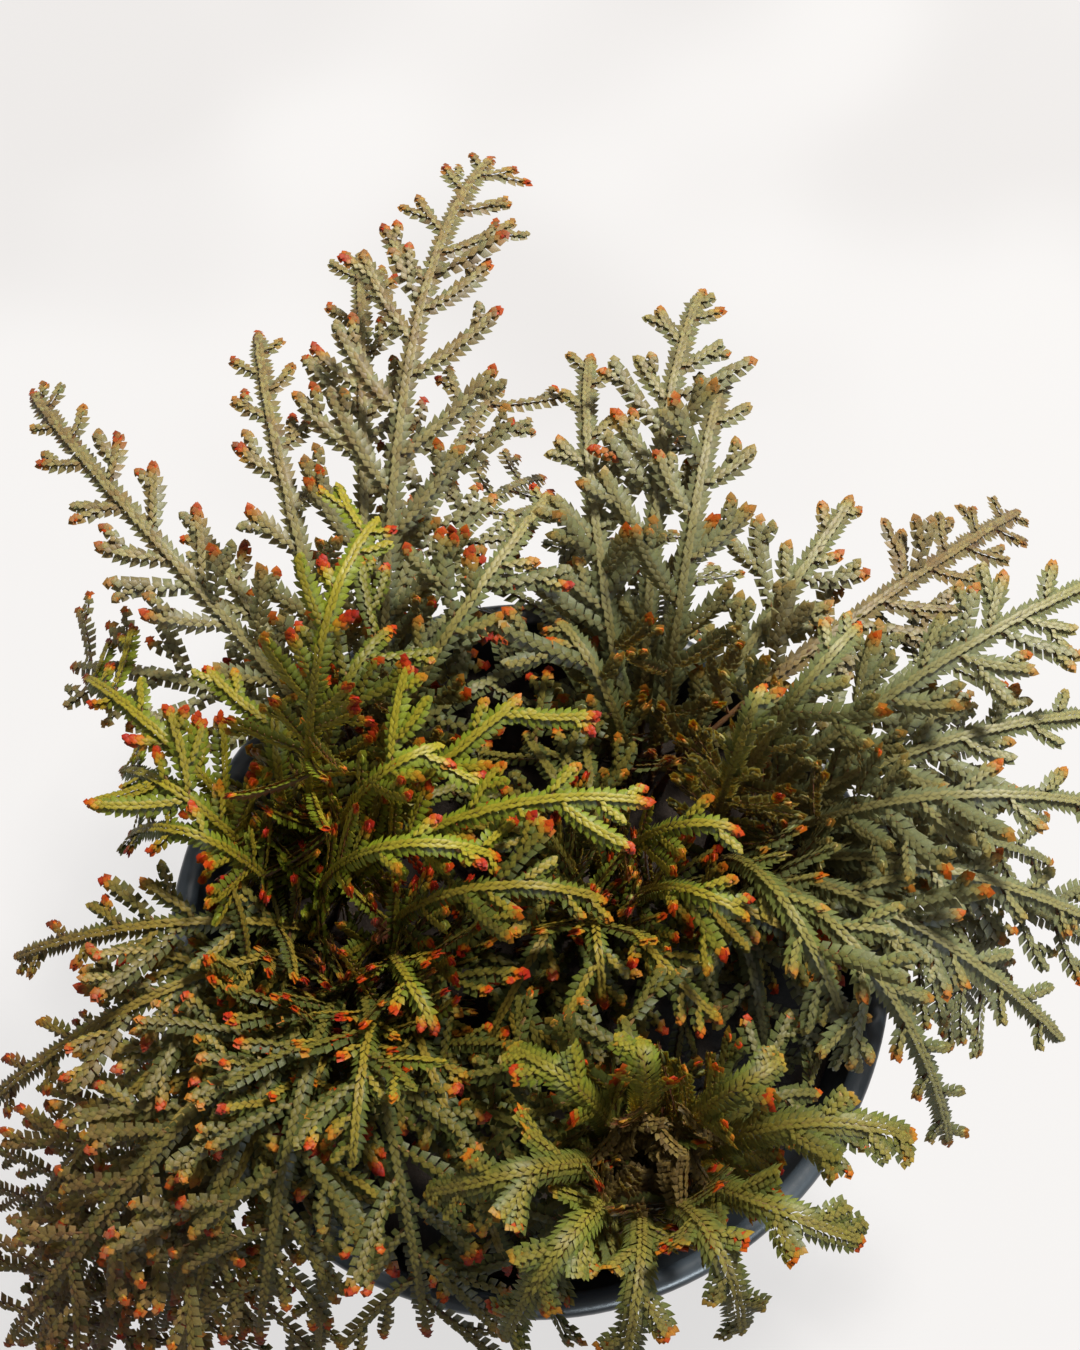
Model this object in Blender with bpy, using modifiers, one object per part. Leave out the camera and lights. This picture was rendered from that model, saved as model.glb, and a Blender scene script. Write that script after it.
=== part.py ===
"""A clump of ruby-tipped spikemoss growing in a round plastic nursery pot.

The model stands on the pot's base, with the base's centre at the origin, +Z up and +Y towards the clump's longest
back shoots. Lengths are in millimetres until a mesh is made, which is in metres. The clump is a set of flat,
forking fronds. Each frond is one strap-like solid: a bare stalk that leaves the soil, a leafy main axis that
arches over, and side branches that leave it left and right in turn.
"""

import math
from dataclasses import dataclass, field

import bmesh
import bpy
import numpy as np

MM = 0.001

# Pot
RIM_RADIUS = 52.5
MOUTH_RADIUS = 49.0
POT_HEIGHT = 80.0
BASE_RADIUS = 36.5
POT_WALL = 1.4
POT_FLOOR = 1.8
RIM_BAND = 8.5
RIM_STEP = 0.8
LIP_ROUND = 1.5
LIP_CHAMFER = 0.4
MOUTH_LEAD = 0.5
FOOT_CHAMFER = 1.0
ROUND_STEPS = 32
DRAIN_HOLES = 4
DRAIN_HOLE_RADIUS = 4.0
DRAIN_CIRCLE_RADIUS = 26.0
DRAIN_HOLE_SIDES = 8

# Soil
SOIL_DEPTH = 10.0
SOIL_DOME = 2.0
CLEARANCE = 0.3
SOIL_CLEARANCE = 0.45

# Straps: widths and thicknesses
FROND_THICKNESS = 1.2
STALK_WIDTH = 1.4
STALK_PIECE = 13.0
STALK_SHARE = 0.86
SHOULDER_WIDTH = 0.8
TIP_NARROWING = 0.15
TIP_TAPER = 0.6
BRANCH_WIDTH = 0.92
BENT_BRANCH = 9.0

# The arch of a main axis: shares of its reach where it stops climbing and where it starts to droop
STEP = 1.0
ROOT_SPACING = 2.9
CLIMB_SHARE = 0.08
CREST_SHARE = 0.62
CREST_LEAD = 6.0
HEADING_PULL = 0.35
CURVE_POINTS = 240

# Side branches: their spacing, angles in degrees, and how their length falls towards the tip
FORK_PITCH = 5.6
TIP_LENGTH = 6.0
FORK_ANGLE = 47.0
ANGLE_SPREAD = 5.0
FORK_SWEEP = 18.0
SHORTEST_BRANCH = 5.5
REACH_FALL = 0.62
FALL_POWER = 1.4
REACH_SPREAD = (0.82, 1.12)
SEED = 11

# Room that each frond keeps from the others
ROOM_CELL = 0.5
ROOM_LOW = np.array([-110.0, -95.0, POT_HEIGHT - 50.0])
ROOM_SIZE = np.array([225.0, 240.0, 125.0])
FROND_GAP = 2.2
RIM_GAP = 2.2
EDGE_SHARE = 0.36
BRANCH_START = 3
STALK_START = 4
OPEN = 0

# What is tried in turn where a place is taken
LIFTS = (0.0, 2.0, -2.0, 4.0, -4.0, 6.0, -6.0, 9.0, -9.0, 12.0, -12.0)
SWINGS = (0.0, 2.0, -2.0, 4.0, -4.0, 7.0, -7.0, 10.0, -10.0)
TILTS = (0.0, 14.0, -14.0, 28.0, -28.0, 42.0, -42.0)
TRIMS = (1.0, 0.75, 0.55)


@dataclass
class Tuft:
    """Where a group of fronds leaves the soil, and the height above the rim that its stalks first head for."""

    x: float
    y: float
    climb: float


@dataclass
class Shoot:
    """The plan of one frond.

    tip is its tip, from the pot's axis and above the rim. crest is the height above the rim that the axis heads
    for before its tip, bend is how far it swings to its left on the way, bare is the leafless share of its
    length, and reach is the length of its longest side branches.
    """

    tuft: str
    tip: tuple
    crest: float
    bend: float = 0.0
    bare: float = 0.4
    reach: float = 11.0
    width: float = 3.6


@dataclass
class Branch:
    """A leafy axis: points one step apart with the directions across it and up from its flat face."""

    line: np.ndarray
    across: np.ndarray
    up: np.ndarray
    width: float


@dataclass
class Frond:
    """A main axis with its side branches, each with the stretch of the axis that it leaves and its side."""

    name: str
    main: Branch
    bare: float
    pitch: float
    sides: list = field(default_factory=list)


TUFTS = {
    "front": Tuft(16.0, -33.0, 50.0),
    "right": Tuft(30.0, 14.0, 34.0),
    "middle": Tuft(10.0, 6.0, 36.0),
    "back": Tuft(17.0, 26.0, 26.0),
    "left": Tuft(-32.0, 9.0, 32.0),
    "rear": Tuft(-24.0, 26.0, 34.0),
    "near": Tuft(-25.0, -5.0, 30.0),
}

SHOOTS = [
    Shoot("front", (49, -32, 38), 46, 4, 0.56, 10, 5.2),
    Shoot("front", (43, -44, 34), 44, -3, 0.56, 9, 5.2),
    Shoot("front", (32, -22, 42), 48, -2, 0.6, 9, 4.8),
    Shoot("front", (27, -55, 28), 42, 2, 0.56, 8, 5.2),
    Shoot("front", (14, -20, 43), 50, 0, 0.64, 8, 4.8),
    Shoot("front", (12, -60, 28), 42, 1, 0.56, 9, 5.2),
    Shoot("front", (-3, -56, 22), 40, -2, 0.54, 9, 5.2),
    Shoot("front", (-2, -20, 36), 46, 0, 0.58, 8, 4.8),
    Shoot("front", (-13, -38, 30), 44, 2, 0.54, 9, 4.8),
    Shoot("rear", (-6, 122, 8), 44, 9, 0.27, 20),
    Shoot("left", (-20, 49, 46), 58, 3, 0.5, 9),
    Shoot("rear", (-26, 105, 12), 40, -2, 0.3, 15),
    Shoot("rear", (-41, 92, 10), 36, 2, 0.3, 12),
    Shoot("rear", (-75, 83, 8), 38, 5, 0.3, 13),
    Shoot("rear", (-50, 62, 14), 30, 0, 0.42, 10),
    Shoot("rear", (3, 64, 16), 34, -3, 0.45, 9),
    Shoot("left", (17, 13, 34), 42, 5, 0.27, 11),
    Shoot("left", (0, 28, 38), 46, -2, 0.4, 10),
    Shoot("left", (-12, 21, 34), 42, 0, 0.46, 8),
    Shoot("left", (-35, 30, 26), 34, 0, 0.5, 7),
    Shoot("left", (-4, 7, 26), 34, 2, 0.36, 8),
    Shoot("left", (-64, 37, 12), 36, 0, 0.34, 9),
    Shoot("left", (-58, 23, 10), 32, 0, 0.36, 8),
    Shoot("left", (-56, 14, 8), 28, 0, 0.38, 7),
    Shoot("middle", (28, 9, 36), 42, 2, 0.5, 9),
    Shoot("middle", (29, -2, 32), 40, 0, 0.48, 9),
    Shoot("middle", (26, -14, 24), 36, -3, 0.48, 8),
    Shoot("middle", (10, -12, 22), 34, 0, 0.5, 8),
    Shoot("middle", (-6, -16, 14), 28, 0, 0.45, 8),
    Shoot("middle", (44, -5, 14), 32, 0, 0.42, 8),
    Shoot("middle", (-9, 14, 16), 28, 0, 0.42, 8),
    Shoot("back", (78, 74, -20), 22, -4, 0.5, 12),
    Shoot("back", (26, 97, 14), 34, 6, 0.32, 14),
    Shoot("back", (9, 87, 12), 30, 5, 0.34, 10),
    Shoot("back", (29, 83, 15), 32, 2, 0.3, 13),
    Shoot("back", (49, 64, 18), 34, -2, 0.3, 10),
    Shoot("back", (4, 43, 20), 32, 0, 0.42, 9),
    Shoot("right", (31, 27, 42), 48, 0, 0.6, 7),
    Shoot("right", (45, 38, 34), 44, 0, 0.45, 9),
    Shoot("right", (82, 49, 22), 40, 0, 0.32, 13),
    Shoot("right", (81, 31, 16), 36, 0, 0.32, 11),
    Shoot("right", (81, 16, 18), 36, 0, 0.32, 11),
    Shoot("right", (80, 3, 8), 32, 0, 0.32, 10),
    Shoot("right", (76, -14, 2), 32, 0, 0.34, 10),
    Shoot("right", (60, -28, -8), 32, 4, 0.34, 9),
    Shoot("right", (48, -18, 4), 30, 0, 0.4, 8),
    Shoot("near", (10, 1, 24), 36, 2, 0.36, 9),
    Shoot("near", (-12, -17, 28), 36, 0, 0.5, 9),
    Shoot("near", (-23, -34, 28), 38, 0, 0.45, 8),
    Shoot("near", (-74, -2, 2), 30, 0, 0.33, 10),
    Shoot("near", (-78, -22, -5), 28, 0, 0.32, 11),
    Shoot("near", (-72, -38, -10), 26, 0, 0.32, 11),
    Shoot("near", (-70, -56, -14), 28, -3, 0.32, 12),
    Shoot("near", (-50, -58, -12), 28, 0, 0.32, 11),
    Shoot("near", (-30, -57, -10), 28, 0, 0.34, 10),
    Shoot("near", (-8, -48, 6), 30, 0, 0.4, 9),
    Shoot("near", (-60, -44, -18), 18, 0, 0.4, 10),
    Shoot("near", (-38, -50, -14), 20, 0, 0.42, 10),
]


def unit(vectors: np.ndarray) -> np.ndarray:
    """Scales each vector to a length of one."""
    return vectors / np.linalg.norm(vectors, axis=-1, keepdims=True)


def even_steps(points: np.ndarray) -> np.ndarray:
    """Points one step apart along a smooth curve."""
    run = np.concatenate([[0.0], np.cumsum(np.linalg.norm(np.diff(points, axis=0), axis=1))])
    stations = np.arange(0.0, run[-1], STEP)
    return np.column_stack([np.interp(stations, run, points[:, axis]) for axis in range(3)])


def soil_height(radius: float) -> float:
    """Height of the domed soil surface at a distance from the pot's axis."""
    return POT_HEIGHT - SOIL_DEPTH + SOIL_DOME * (1 - (radius / MOUTH_RADIUS) ** 2)


def main_axis(shoot: Shoot, root: np.ndarray, lift: float, swing: float) -> Branch:
    """The arching axis of one frond, from its root in the soil to its tip."""
    turn = math.radians(swing)
    spin = np.array([[math.cos(turn), -math.sin(turn)], [math.sin(turn), math.cos(turn)]])
    flat = spin @ (np.array(shoot.tip[:2]) - root[:2])
    tip = np.array([*(root[:2] + flat), POT_HEIGHT + shoot.tip[2] + lift * 0.5])
    left = unit(np.array([-flat[1], flat[0]]))
    climb = POT_HEIGHT + max(TUFTS[shoot.tuft].climb, shoot.crest - CREST_LEAD) + lift
    first = np.array([*(root[:2] + flat * CLIMB_SHARE), climb])
    second = np.array([*(root[:2] + flat * CREST_SHARE + left * shoot.bend), POT_HEIGHT + shoot.crest + lift])
    share = np.linspace(0.0, 1.0, CURVE_POINTS)[:, None]
    curve = (
        root * (1 - share) ** 3
        + first * 3 * share * (1 - share) ** 2
        + second * 3 * share**2 * (1 - share)
        + tip * share**3
    )
    line = even_steps(curve)
    ahead = unit(np.gradient(line, axis=0))
    heading = unit(ahead[:, :2] + unit(flat) * HEADING_PULL)
    across = np.column_stack([heading[:, 1], -heading[:, 0], np.zeros(len(line))])
    across = unit(across - ahead * np.sum(across * ahead, axis=1, keepdims=True))
    return Branch(line, across, np.cross(across, ahead), shoot.width)


def side_axis(main: Branch, at: int, side: int, length: float, angle: float, tilt: float) -> Branch:
    """A side branch that leaves the main axis at one of its points and curves forwards."""
    ahead = unit(main.line[at + 1] - main.line[at])
    share = np.arange(0.0, length, STEP)[:, None] / length
    turn = np.radians(angle - FORK_SWEEP * share)
    rise = math.tan(math.radians(tilt)) * (1 - 0.5 * share)
    ways = unit(ahead * np.cos(turn) + main.across[at] * side * np.sin(turn) + main.up[at] * rise)
    line = main.line[at] + np.vstack([np.zeros(3), np.cumsum(ways, axis=0)[:-1] * STEP])
    up = unit(main.up[at] - ways * (ways @ main.up[at])[:, None])
    return Branch(line, np.cross(ways, up), up, main.width * BRANCH_WIDTH)


class Room:
    """The air in and above the pot, in small cubes that each hold the number of the frond that fills them."""

    def __init__(self) -> None:
        self.owner = np.zeros((ROOM_SIZE / ROOM_CELL).astype(int), np.uint8)
        reach = int(FROND_GAP / ROOM_CELL) + 1
        span = np.arange(-reach, reach + 1)
        cubes = np.stack(np.meshgrid(span, span, span), axis=-1).reshape(-1, 3)
        self.ball = cubes[np.linalg.norm(cubes, axis=1) * ROOM_CELL <= FROND_GAP]

    def cubes(self, points: np.ndarray) -> np.ndarray:
        """The cube that each point lies in."""
        return ((points - ROOM_LOW) / ROOM_CELL).astype(int)

    def holds(self, points: np.ndarray, number: int) -> bool:
        """Whether a frond may fill these points: clear of the pot, the soil and every other frond."""
        radius = np.hypot(points[:, 0], points[:, 1])
        height = points[:, 2] - POT_HEIGHT
        near_wall = (radius > MOUTH_RADIUS - POT_WALL - RIM_GAP) & (radius < RIM_RADIUS + RIM_GAP)
        at_pot = near_wall & (height < RIM_GAP)
        in_soil = (radius < MOUTH_RADIUS) & (height < RIM_GAP - SOIL_DEPTH)
        if np.any(at_pot | in_soil):
            return False
        owners = self.owner[tuple(self.cubes(points).T)]
        return not np.any((owners != OPEN) & (owners != number))

    def fill(self, points: np.ndarray, number: int) -> None:
        """Marks the cubes around these points as one frond's."""
        cubes = (self.cubes(points)[:, None, :] + self.ball[None, :, :]).reshape(-1, 3)
        self.owner[tuple(cubes.T)] = number


def body_points(branch: Branch, start: int) -> np.ndarray:
    """Points spread over a leafy axis from a distance on: down its middle and along both edges."""
    middle = branch.line[start:]
    edge = branch.across[start:] * branch.width * EDGE_SHARE
    return np.vstack([middle, middle - edge, middle + edge])


def root_places() -> list:
    """Where each frond leaves the soil: round its tuft's centre, in the order of the fronds' headings."""
    places = [None] * len(SHOOTS)
    for name, tuft in TUFTS.items():
        members = [number for number, shoot in enumerate(SHOOTS) if shoot.tuft == name]
        headings = {
            number: math.atan2(SHOOTS[number].tip[1] - tuft.y, SHOOTS[number].tip[0] - tuft.x)
            for number in members
        }
        members.sort(key=headings.get)
        share = math.tau / len(members)
        offset = sum(headings[number] - share * place for place, number in enumerate(members)) / len(members)
        ring = len(members) * ROOT_SPACING / math.tau
        for place, number in enumerate(members):
            x = tuft.x + ring * math.cos(offset + share * place)
            y = tuft.y + ring * math.sin(offset + share * place)
            places[number] = np.array([x, y, soil_height(math.hypot(x, y)) + CLEARANCE * 2])
    return places


def place_main(room: Room, number: int, shoot: Shoot, root: np.ndarray) -> tuple:
    """Finds the first way for a frond's axis to reach its tip that is clear of the others.

    Returns:
        The axis and the length of its bare stalk, or None where every way is taken.
    """
    for swing in SWINGS:
        for lift in LIFTS:
            main = main_axis(shoot, root, lift, swing)
            bare = int(len(main.line) * shoot.bare)
            leafy = body_points(main, bare)
            stalk = main.line[STALK_START:bare]
            if room.holds(leafy, number) and room.holds(stalk, number):
                room.fill(np.vstack([leafy, main.line[:bare]]), number)
                return main, bare
    return None


def place_side(room: Room, number: int, frond: Frond, fork: int, side: int, wanted: float, angle: float) -> None:
    """Adds a side branch to a frond in the first way that is clear of the others, if there is one."""
    at = int(frond.bare + frond.pitch * (fork + 0.5))
    for trim in TRIMS:
        for tilt in TILTS:
            branch = side_axis(frond.main, at, side, max(wanted * trim, SHORTEST_BRANCH), angle, tilt)
            points = body_points(branch, BRANCH_START)
            if room.holds(points, number):
                room.fill(points, number)
                frond.sides.append((fork, side, branch))
                return


def grow() -> list:
    """Grows every frond in turn, each clear of the ones before it.

    Returns:
        The fronds, in the order of SHOOTS.
    """
    room = Room()
    chance = np.random.default_rng(SEED)
    tally = {name: 0 for name in TUFTS}
    grown = []
    for number, (shoot, root) in enumerate(zip(SHOOTS, root_places()), start=1):
        tally[shoot.tuft] += 1
        placed = place_main(room, number, shoot, root)
        if placed is None:
            raise ValueError(f"no room for {shoot}")
        main, bare = placed
        leafy = len(main.line) - bare - TIP_LENGTH
        forks = max(2, round(leafy / FORK_PITCH))
        frond = Frond(f"{shoot.tuft}_frond_{tally[shoot.tuft]}", main, bare, leafy / forks)
        grown.append((number, shoot, forks, frond))
    for number, shoot, forks, frond in grown:
        first_side = int(chance.choice((-1, 1)))
        for fork in range(forks):
            wanted = shoot.reach * (1 - REACH_FALL * (fork / forks) ** FALL_POWER) * chance.uniform(*REACH_SPREAD)
            angle = FORK_ANGLE + chance.uniform(-ANGLE_SPREAD, ANGLE_SPREAD)
            side = first_side if fork % 2 else -first_side
            place_side(room, number, frond, fork, side, wanted, angle)
    return [frond for number, shoot, forks, frond in grown]


def corners(branch: Branch, at: float, width: float, thickness: float = FROND_THICKNESS) -> list:
    """The four corners of a strap at a distance along it: top left, top right, bottom right, bottom left."""
    index = min(int(round(at)), len(branch.line) - 1)
    middle = branch.line[index]
    half = branch.across[index] * width / 2
    rise = branch.up[index] * thickness / 2
    return [middle - half + rise, middle + half + rise, middle + half - rise, middle - half - rise]


def push_out(mesh: bmesh.types.BMesh, face_corners: list, places: list) -> list:
    """Extrudes the face between four corners to four new places, and returns the new corners in order."""
    face = mesh.faces.get(face_corners)
    order = [list(face.verts).index(corner) for corner in face_corners]
    end = bmesh.ops.extrude_discrete_faces(mesh, faces=[face])["faces"][0]
    fresh = [end.verts[index] for index in order]
    for corner, place in zip(fresh, places):
        corner.co = place * MM
    return fresh


def stalk_block(mesh: bmesh.types.BMesh, foot: list, top: list) -> list:
    """Starts a frond with a block whose lower and upper corners lie at the given places.

    Returns:
        The block's upper corners, in the order of a strap's corners.
    """
    upper = [None] * 4
    for corner in bmesh.ops.create_cube(mesh, size=1.0)["verts"]:
        right, back, high = (value > 0 for value in corner.co)
        index = (1 if right else 0) if back else (2 if right else 3)
        corner.co = (top if high else foot)[index] * MM
        if high:
            upper[index] = corner
    return upper


def frond_mesh(frond: Frond) -> bpy.types.Mesh:
    """One closed strap that forks where the frond's side branches leave it."""
    mesh = bmesh.new()
    main = frond.main
    width = main.width
    foot = corners(main, 0, STALK_WIDTH, STALK_WIDTH)
    pieces = max(2, round(frond.bare / STALK_PIECE))
    knees = [frond.bare * STALK_SHARE * (piece + 1) / pieces for piece in range(pieces)]
    end = stalk_block(mesh, foot, corners(main, knees[0], STALK_WIDTH))
    for knee in knees[1:]:
        end = push_out(mesh, end, corners(main, knee, STALK_WIDTH))
    end = push_out(mesh, end, corners(main, frond.bare, width * SHOULDER_WIDTH))
    forks = {fork: (side, branch) for fork, side, branch in frond.sides}
    count = round((len(main.line) - frond.bare - TIP_LENGTH) / frond.pitch)
    for fork in range(count):
        narrowing = 1 - TIP_NARROWING * (fork + 1) / count
        fresh = push_out(mesh, end, corners(main, frond.bare + frond.pitch * (fork + 1), width * narrowing))
        if fork in forks:
            side, branch = forks[fork]
            base = [fresh[1], end[1], end[2], fresh[2]] if side > 0 else [end[0], fresh[0], fresh[3], end[3]]
            length = len(branch.line) - 1
            if length > BENT_BRANCH:
                base = push_out(mesh, base, corners(branch, length * 0.5, branch.width))
            push_out(mesh, base, corners(branch, length, branch.width * TIP_TAPER))
        end = fresh
    push_out(mesh, end, corners(main, len(main.line) - 1, width * TIP_TAPER))
    bmesh.ops.triangulate(mesh, faces=mesh.faces[:])
    bmesh.ops.recalc_face_normals(mesh, faces=mesh.faces[:])
    result = bpy.data.meshes.new(frond.name)
    mesh.to_mesh(result)
    mesh.free()
    return result


def turned(name: str, profile: list, collection: bpy.types.Collection) -> bpy.types.Object:
    """Turns a profile of (radius, height) points round the pot's axis."""
    mesh = bpy.data.meshes.new(name)
    points = [(radius * MM, 0.0, height * MM) for radius, height in profile]
    mesh.from_pydata(points, [(index, index + 1) for index in range(len(points) - 1)], [])
    body = bpy.data.objects.new(name, mesh)
    collection.objects.link(body)
    screw = body.modifiers.new("Turn", "SCREW")
    screw.steps = ROUND_STEPS
    screw.render_steps = ROUND_STEPS
    screw.use_merge_vertices = True
    screw.merge_threshold = 0.00005
    return body


def inner_radius(height: float) -> float:
    """Radius of the pot's tapered inside at a height above its base."""
    share = (height - POT_FLOOR) / (POT_HEIGHT - POT_FLOOR)
    low = BASE_RADIUS - POT_WALL
    return low + (MOUTH_RADIUS - MOUTH_LEAD - low) * share


def drain_cutter(number: int, cutters: bpy.types.Collection) -> bpy.types.Object:
    """A short post through the pot's floor where one drain hole goes."""
    angle = math.tau * (number + 0.5) / DRAIN_HOLES
    centre = (DRAIN_CIRCLE_RADIUS * math.cos(angle) * MM, DRAIN_CIRCLE_RADIUS * math.sin(angle) * MM, 0.0)
    mesh = bmesh.new()
    bmesh.ops.create_cone(
        mesh,
        cap_ends=True,
        segments=DRAIN_HOLE_SIDES,
        radius1=DRAIN_HOLE_RADIUS * MM,
        radius2=DRAIN_HOLE_RADIUS * MM,
        depth=POT_FLOOR * 4 * MM,
    )
    bmesh.ops.translate(mesh, verts=mesh.verts[:], vec=centre)
    data = bpy.data.meshes.new(f"drain_cutter_{number + 1}")
    mesh.to_mesh(data)
    mesh.free()
    cutter = bpy.data.objects.new(data.name, data)
    cutter.hide_render = True
    cutter.display_type = "WIRE"
    cutters.objects.link(cutter)
    return cutter


def make_pot(collection: bpy.types.Collection, cutters: bpy.types.Collection) -> bpy.types.Object:
    """The moulded pot: tapered wall, stepped rim band with a rounded lip, flat floor with drain holes."""
    band = POT_HEIGHT - RIM_BAND
    profile = [
        (0.0, POT_FLOOR),
        (BASE_RADIUS - POT_WALL, POT_FLOOR),
        (inner_radius(band), band),
        (MOUTH_RADIUS, POT_HEIGHT - LIP_ROUND),
        (MOUTH_RADIUS + LIP_ROUND / 2, POT_HEIGHT - LIP_CHAMFER),
        ((MOUTH_RADIUS + RIM_RADIUS) / 2, POT_HEIGHT),
        (RIM_RADIUS - LIP_ROUND / 2, POT_HEIGHT - LIP_CHAMFER),
        (RIM_RADIUS, POT_HEIGHT - LIP_ROUND),
        (RIM_RADIUS - LIP_CHAMFER, band),
        (inner_radius(band) + POT_WALL, band - RIM_STEP),
        (BASE_RADIUS, FOOT_CHAMFER),
        (BASE_RADIUS - FOOT_CHAMFER, 0.0),
        (0.0, 0.0),
    ]
    pot = turned("pot", profile, collection)
    for number in range(DRAIN_HOLES):
        cut = pot.modifiers.new(f"Drain {number + 1}", "BOOLEAN")
        cut.operation = "DIFFERENCE"
        cut.object = drain_cutter(number, cutters)
    return pot


def make_soil(collection: bpy.types.Collection) -> bpy.types.Object:
    """The body of soil that fills the pot, with a low dome on top."""
    edge_height = POT_HEIGHT - SOIL_DEPTH
    floor = POT_FLOOR + CLEARANCE
    edge = inner_radius(edge_height) - SOIL_CLEARANCE
    profile = [
        (0.0, soil_height(0.0)),
        (edge / 2, soil_height(edge / 2)),
        (edge, edge_height),
        (inner_radius(floor) - SOIL_CLEARANCE, floor),
        (0.0, floor),
    ]
    return turned("potting_soil", profile, collection)


def finish(name: str, colour: tuple, roughness: float) -> bpy.types.Material:
    """A plain material of one colour."""
    material = bpy.data.materials.new(name)
    material.use_nodes = True
    shader = material.node_tree.nodes["Principled BSDF"]
    shader.inputs["Base Color"].default_value = (*colour, 1.0)
    shader.inputs["Roughness"].default_value = roughness
    shader.inputs["Metallic"].default_value = 0.0
    material.diffuse_color = (*colour, 1.0)
    return material


def main() -> None:
    """Builds the pot, the soil and the fronds."""
    for old in list(bpy.data.objects):
        bpy.data.objects.remove(old, do_unlink=True)
    clump = bpy.data.collections.new("spikemoss_clump")
    cutters = bpy.data.collections.new("cutters")
    for collection in (clump, cutters):
        bpy.context.scene.collection.children.link(collection)
    make_pot(clump, cutters).data.materials.append(finish("pot_plastic", (0.030, 0.042, 0.055), 0.35))
    make_soil(clump).data.materials.append(finish("soil", (0.020, 0.014, 0.010), 0.95))
    leaf = finish("spikemoss_leaf", (0.110, 0.160, 0.030), 0.5)
    for frond in grow():
        mesh = frond_mesh(frond)
        mesh.materials.append(leaf)
        clump.objects.link(bpy.data.objects.new(frond.name, mesh))


main()
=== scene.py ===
"""Looks of a clump of ruby-tipped spikemoss in a round plastic nursery pot.

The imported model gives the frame: the pot, the soil and one plain strap for each frond. This script grows the
same fronds from the same plan, adds what is finer than the straps, such as lobes, twigs and lower fronds, and
dresses every axis with four or six ranks of scale leaves. Lengths are in millimetres until a mesh is made,
which is in metres.
"""

import logging
import math
from dataclasses import dataclass, field, replace
from enum import Enum
from itertools import product
from typing import Any

import bmesh
import bpy
import numpy as np
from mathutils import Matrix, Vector, noise

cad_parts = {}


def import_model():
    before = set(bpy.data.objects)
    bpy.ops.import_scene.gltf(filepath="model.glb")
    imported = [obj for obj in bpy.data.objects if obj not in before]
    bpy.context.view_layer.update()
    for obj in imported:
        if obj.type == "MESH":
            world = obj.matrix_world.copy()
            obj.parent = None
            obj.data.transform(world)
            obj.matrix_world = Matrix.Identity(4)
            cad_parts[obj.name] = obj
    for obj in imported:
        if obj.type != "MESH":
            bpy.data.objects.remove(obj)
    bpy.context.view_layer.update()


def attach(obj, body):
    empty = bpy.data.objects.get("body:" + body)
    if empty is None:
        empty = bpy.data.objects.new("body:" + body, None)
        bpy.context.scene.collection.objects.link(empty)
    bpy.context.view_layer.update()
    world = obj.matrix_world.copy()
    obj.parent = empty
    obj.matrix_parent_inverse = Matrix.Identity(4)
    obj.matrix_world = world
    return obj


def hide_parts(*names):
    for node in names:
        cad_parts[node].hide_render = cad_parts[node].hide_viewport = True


MM = 0.001
SOIL_SEED = 5
LEAF_SEED = 7
LOG = logging.getLogger("spikemoss")


@dataclass(frozen=True)
class PotSizes:
    """Real sizes of the nursery pot and its soil."""

    rim_radius: float = 52.5
    mouth_radius: float = 49.0
    height: float = 80.0
    base_radius: float = 36.5
    wall: float = 1.4
    floor: float = 1.8
    rim_band: float = 8.5
    rim_step: float = 0.8
    lip_round: float = 1.5
    lip_chamfer: float = 0.4
    mouth_lead: float = 0.5
    foot_chamfer: float = 1.0
    drain_holes: int = 4
    drain_radius: float = 4.0
    drain_circle: float = 26.0
    soil_depth: float = 10.0
    soil_dome: float = 2.0
    clearance: float = 0.3
    soil_clearance: float = 0.45

    def soil_height(self, radius: float) -> float:
        """Height of the domed soil surface at a distance from the pot's axis."""
        return self.height - self.soil_depth + self.soil_dome * (1 - (radius / self.mouth_radius) ** 2)

    def inner_radius(self, height: float) -> float:
        """Radius of the tapered inside.

        Args:
            height: The height above the base.

        Returns:
            The radius there.
        """
        share = (height - self.floor) / (self.height - self.floor)
        low = self.base_radius - self.wall
        return low + (self.mouth_radius - self.mouth_lead - low) * share


POT = PotSizes()


class Side(Enum):
    """The side of an axis, seen from above with the tip ahead."""

    LEFT = -1
    RIGHT = 1


@dataclass(frozen=True)
class Crown:
    """The short inner twigs that close the middle of a tuft.

    woody is how brown they are, longest their greatest length, top where the last one starts as a share of
    the bare stalk, tilt how far they rise towards the middle, and narrow the angle between the stalk and
    every other twig.
    """

    woody: float
    longest: float
    top: float
    tilt: float
    narrow: float


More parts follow.
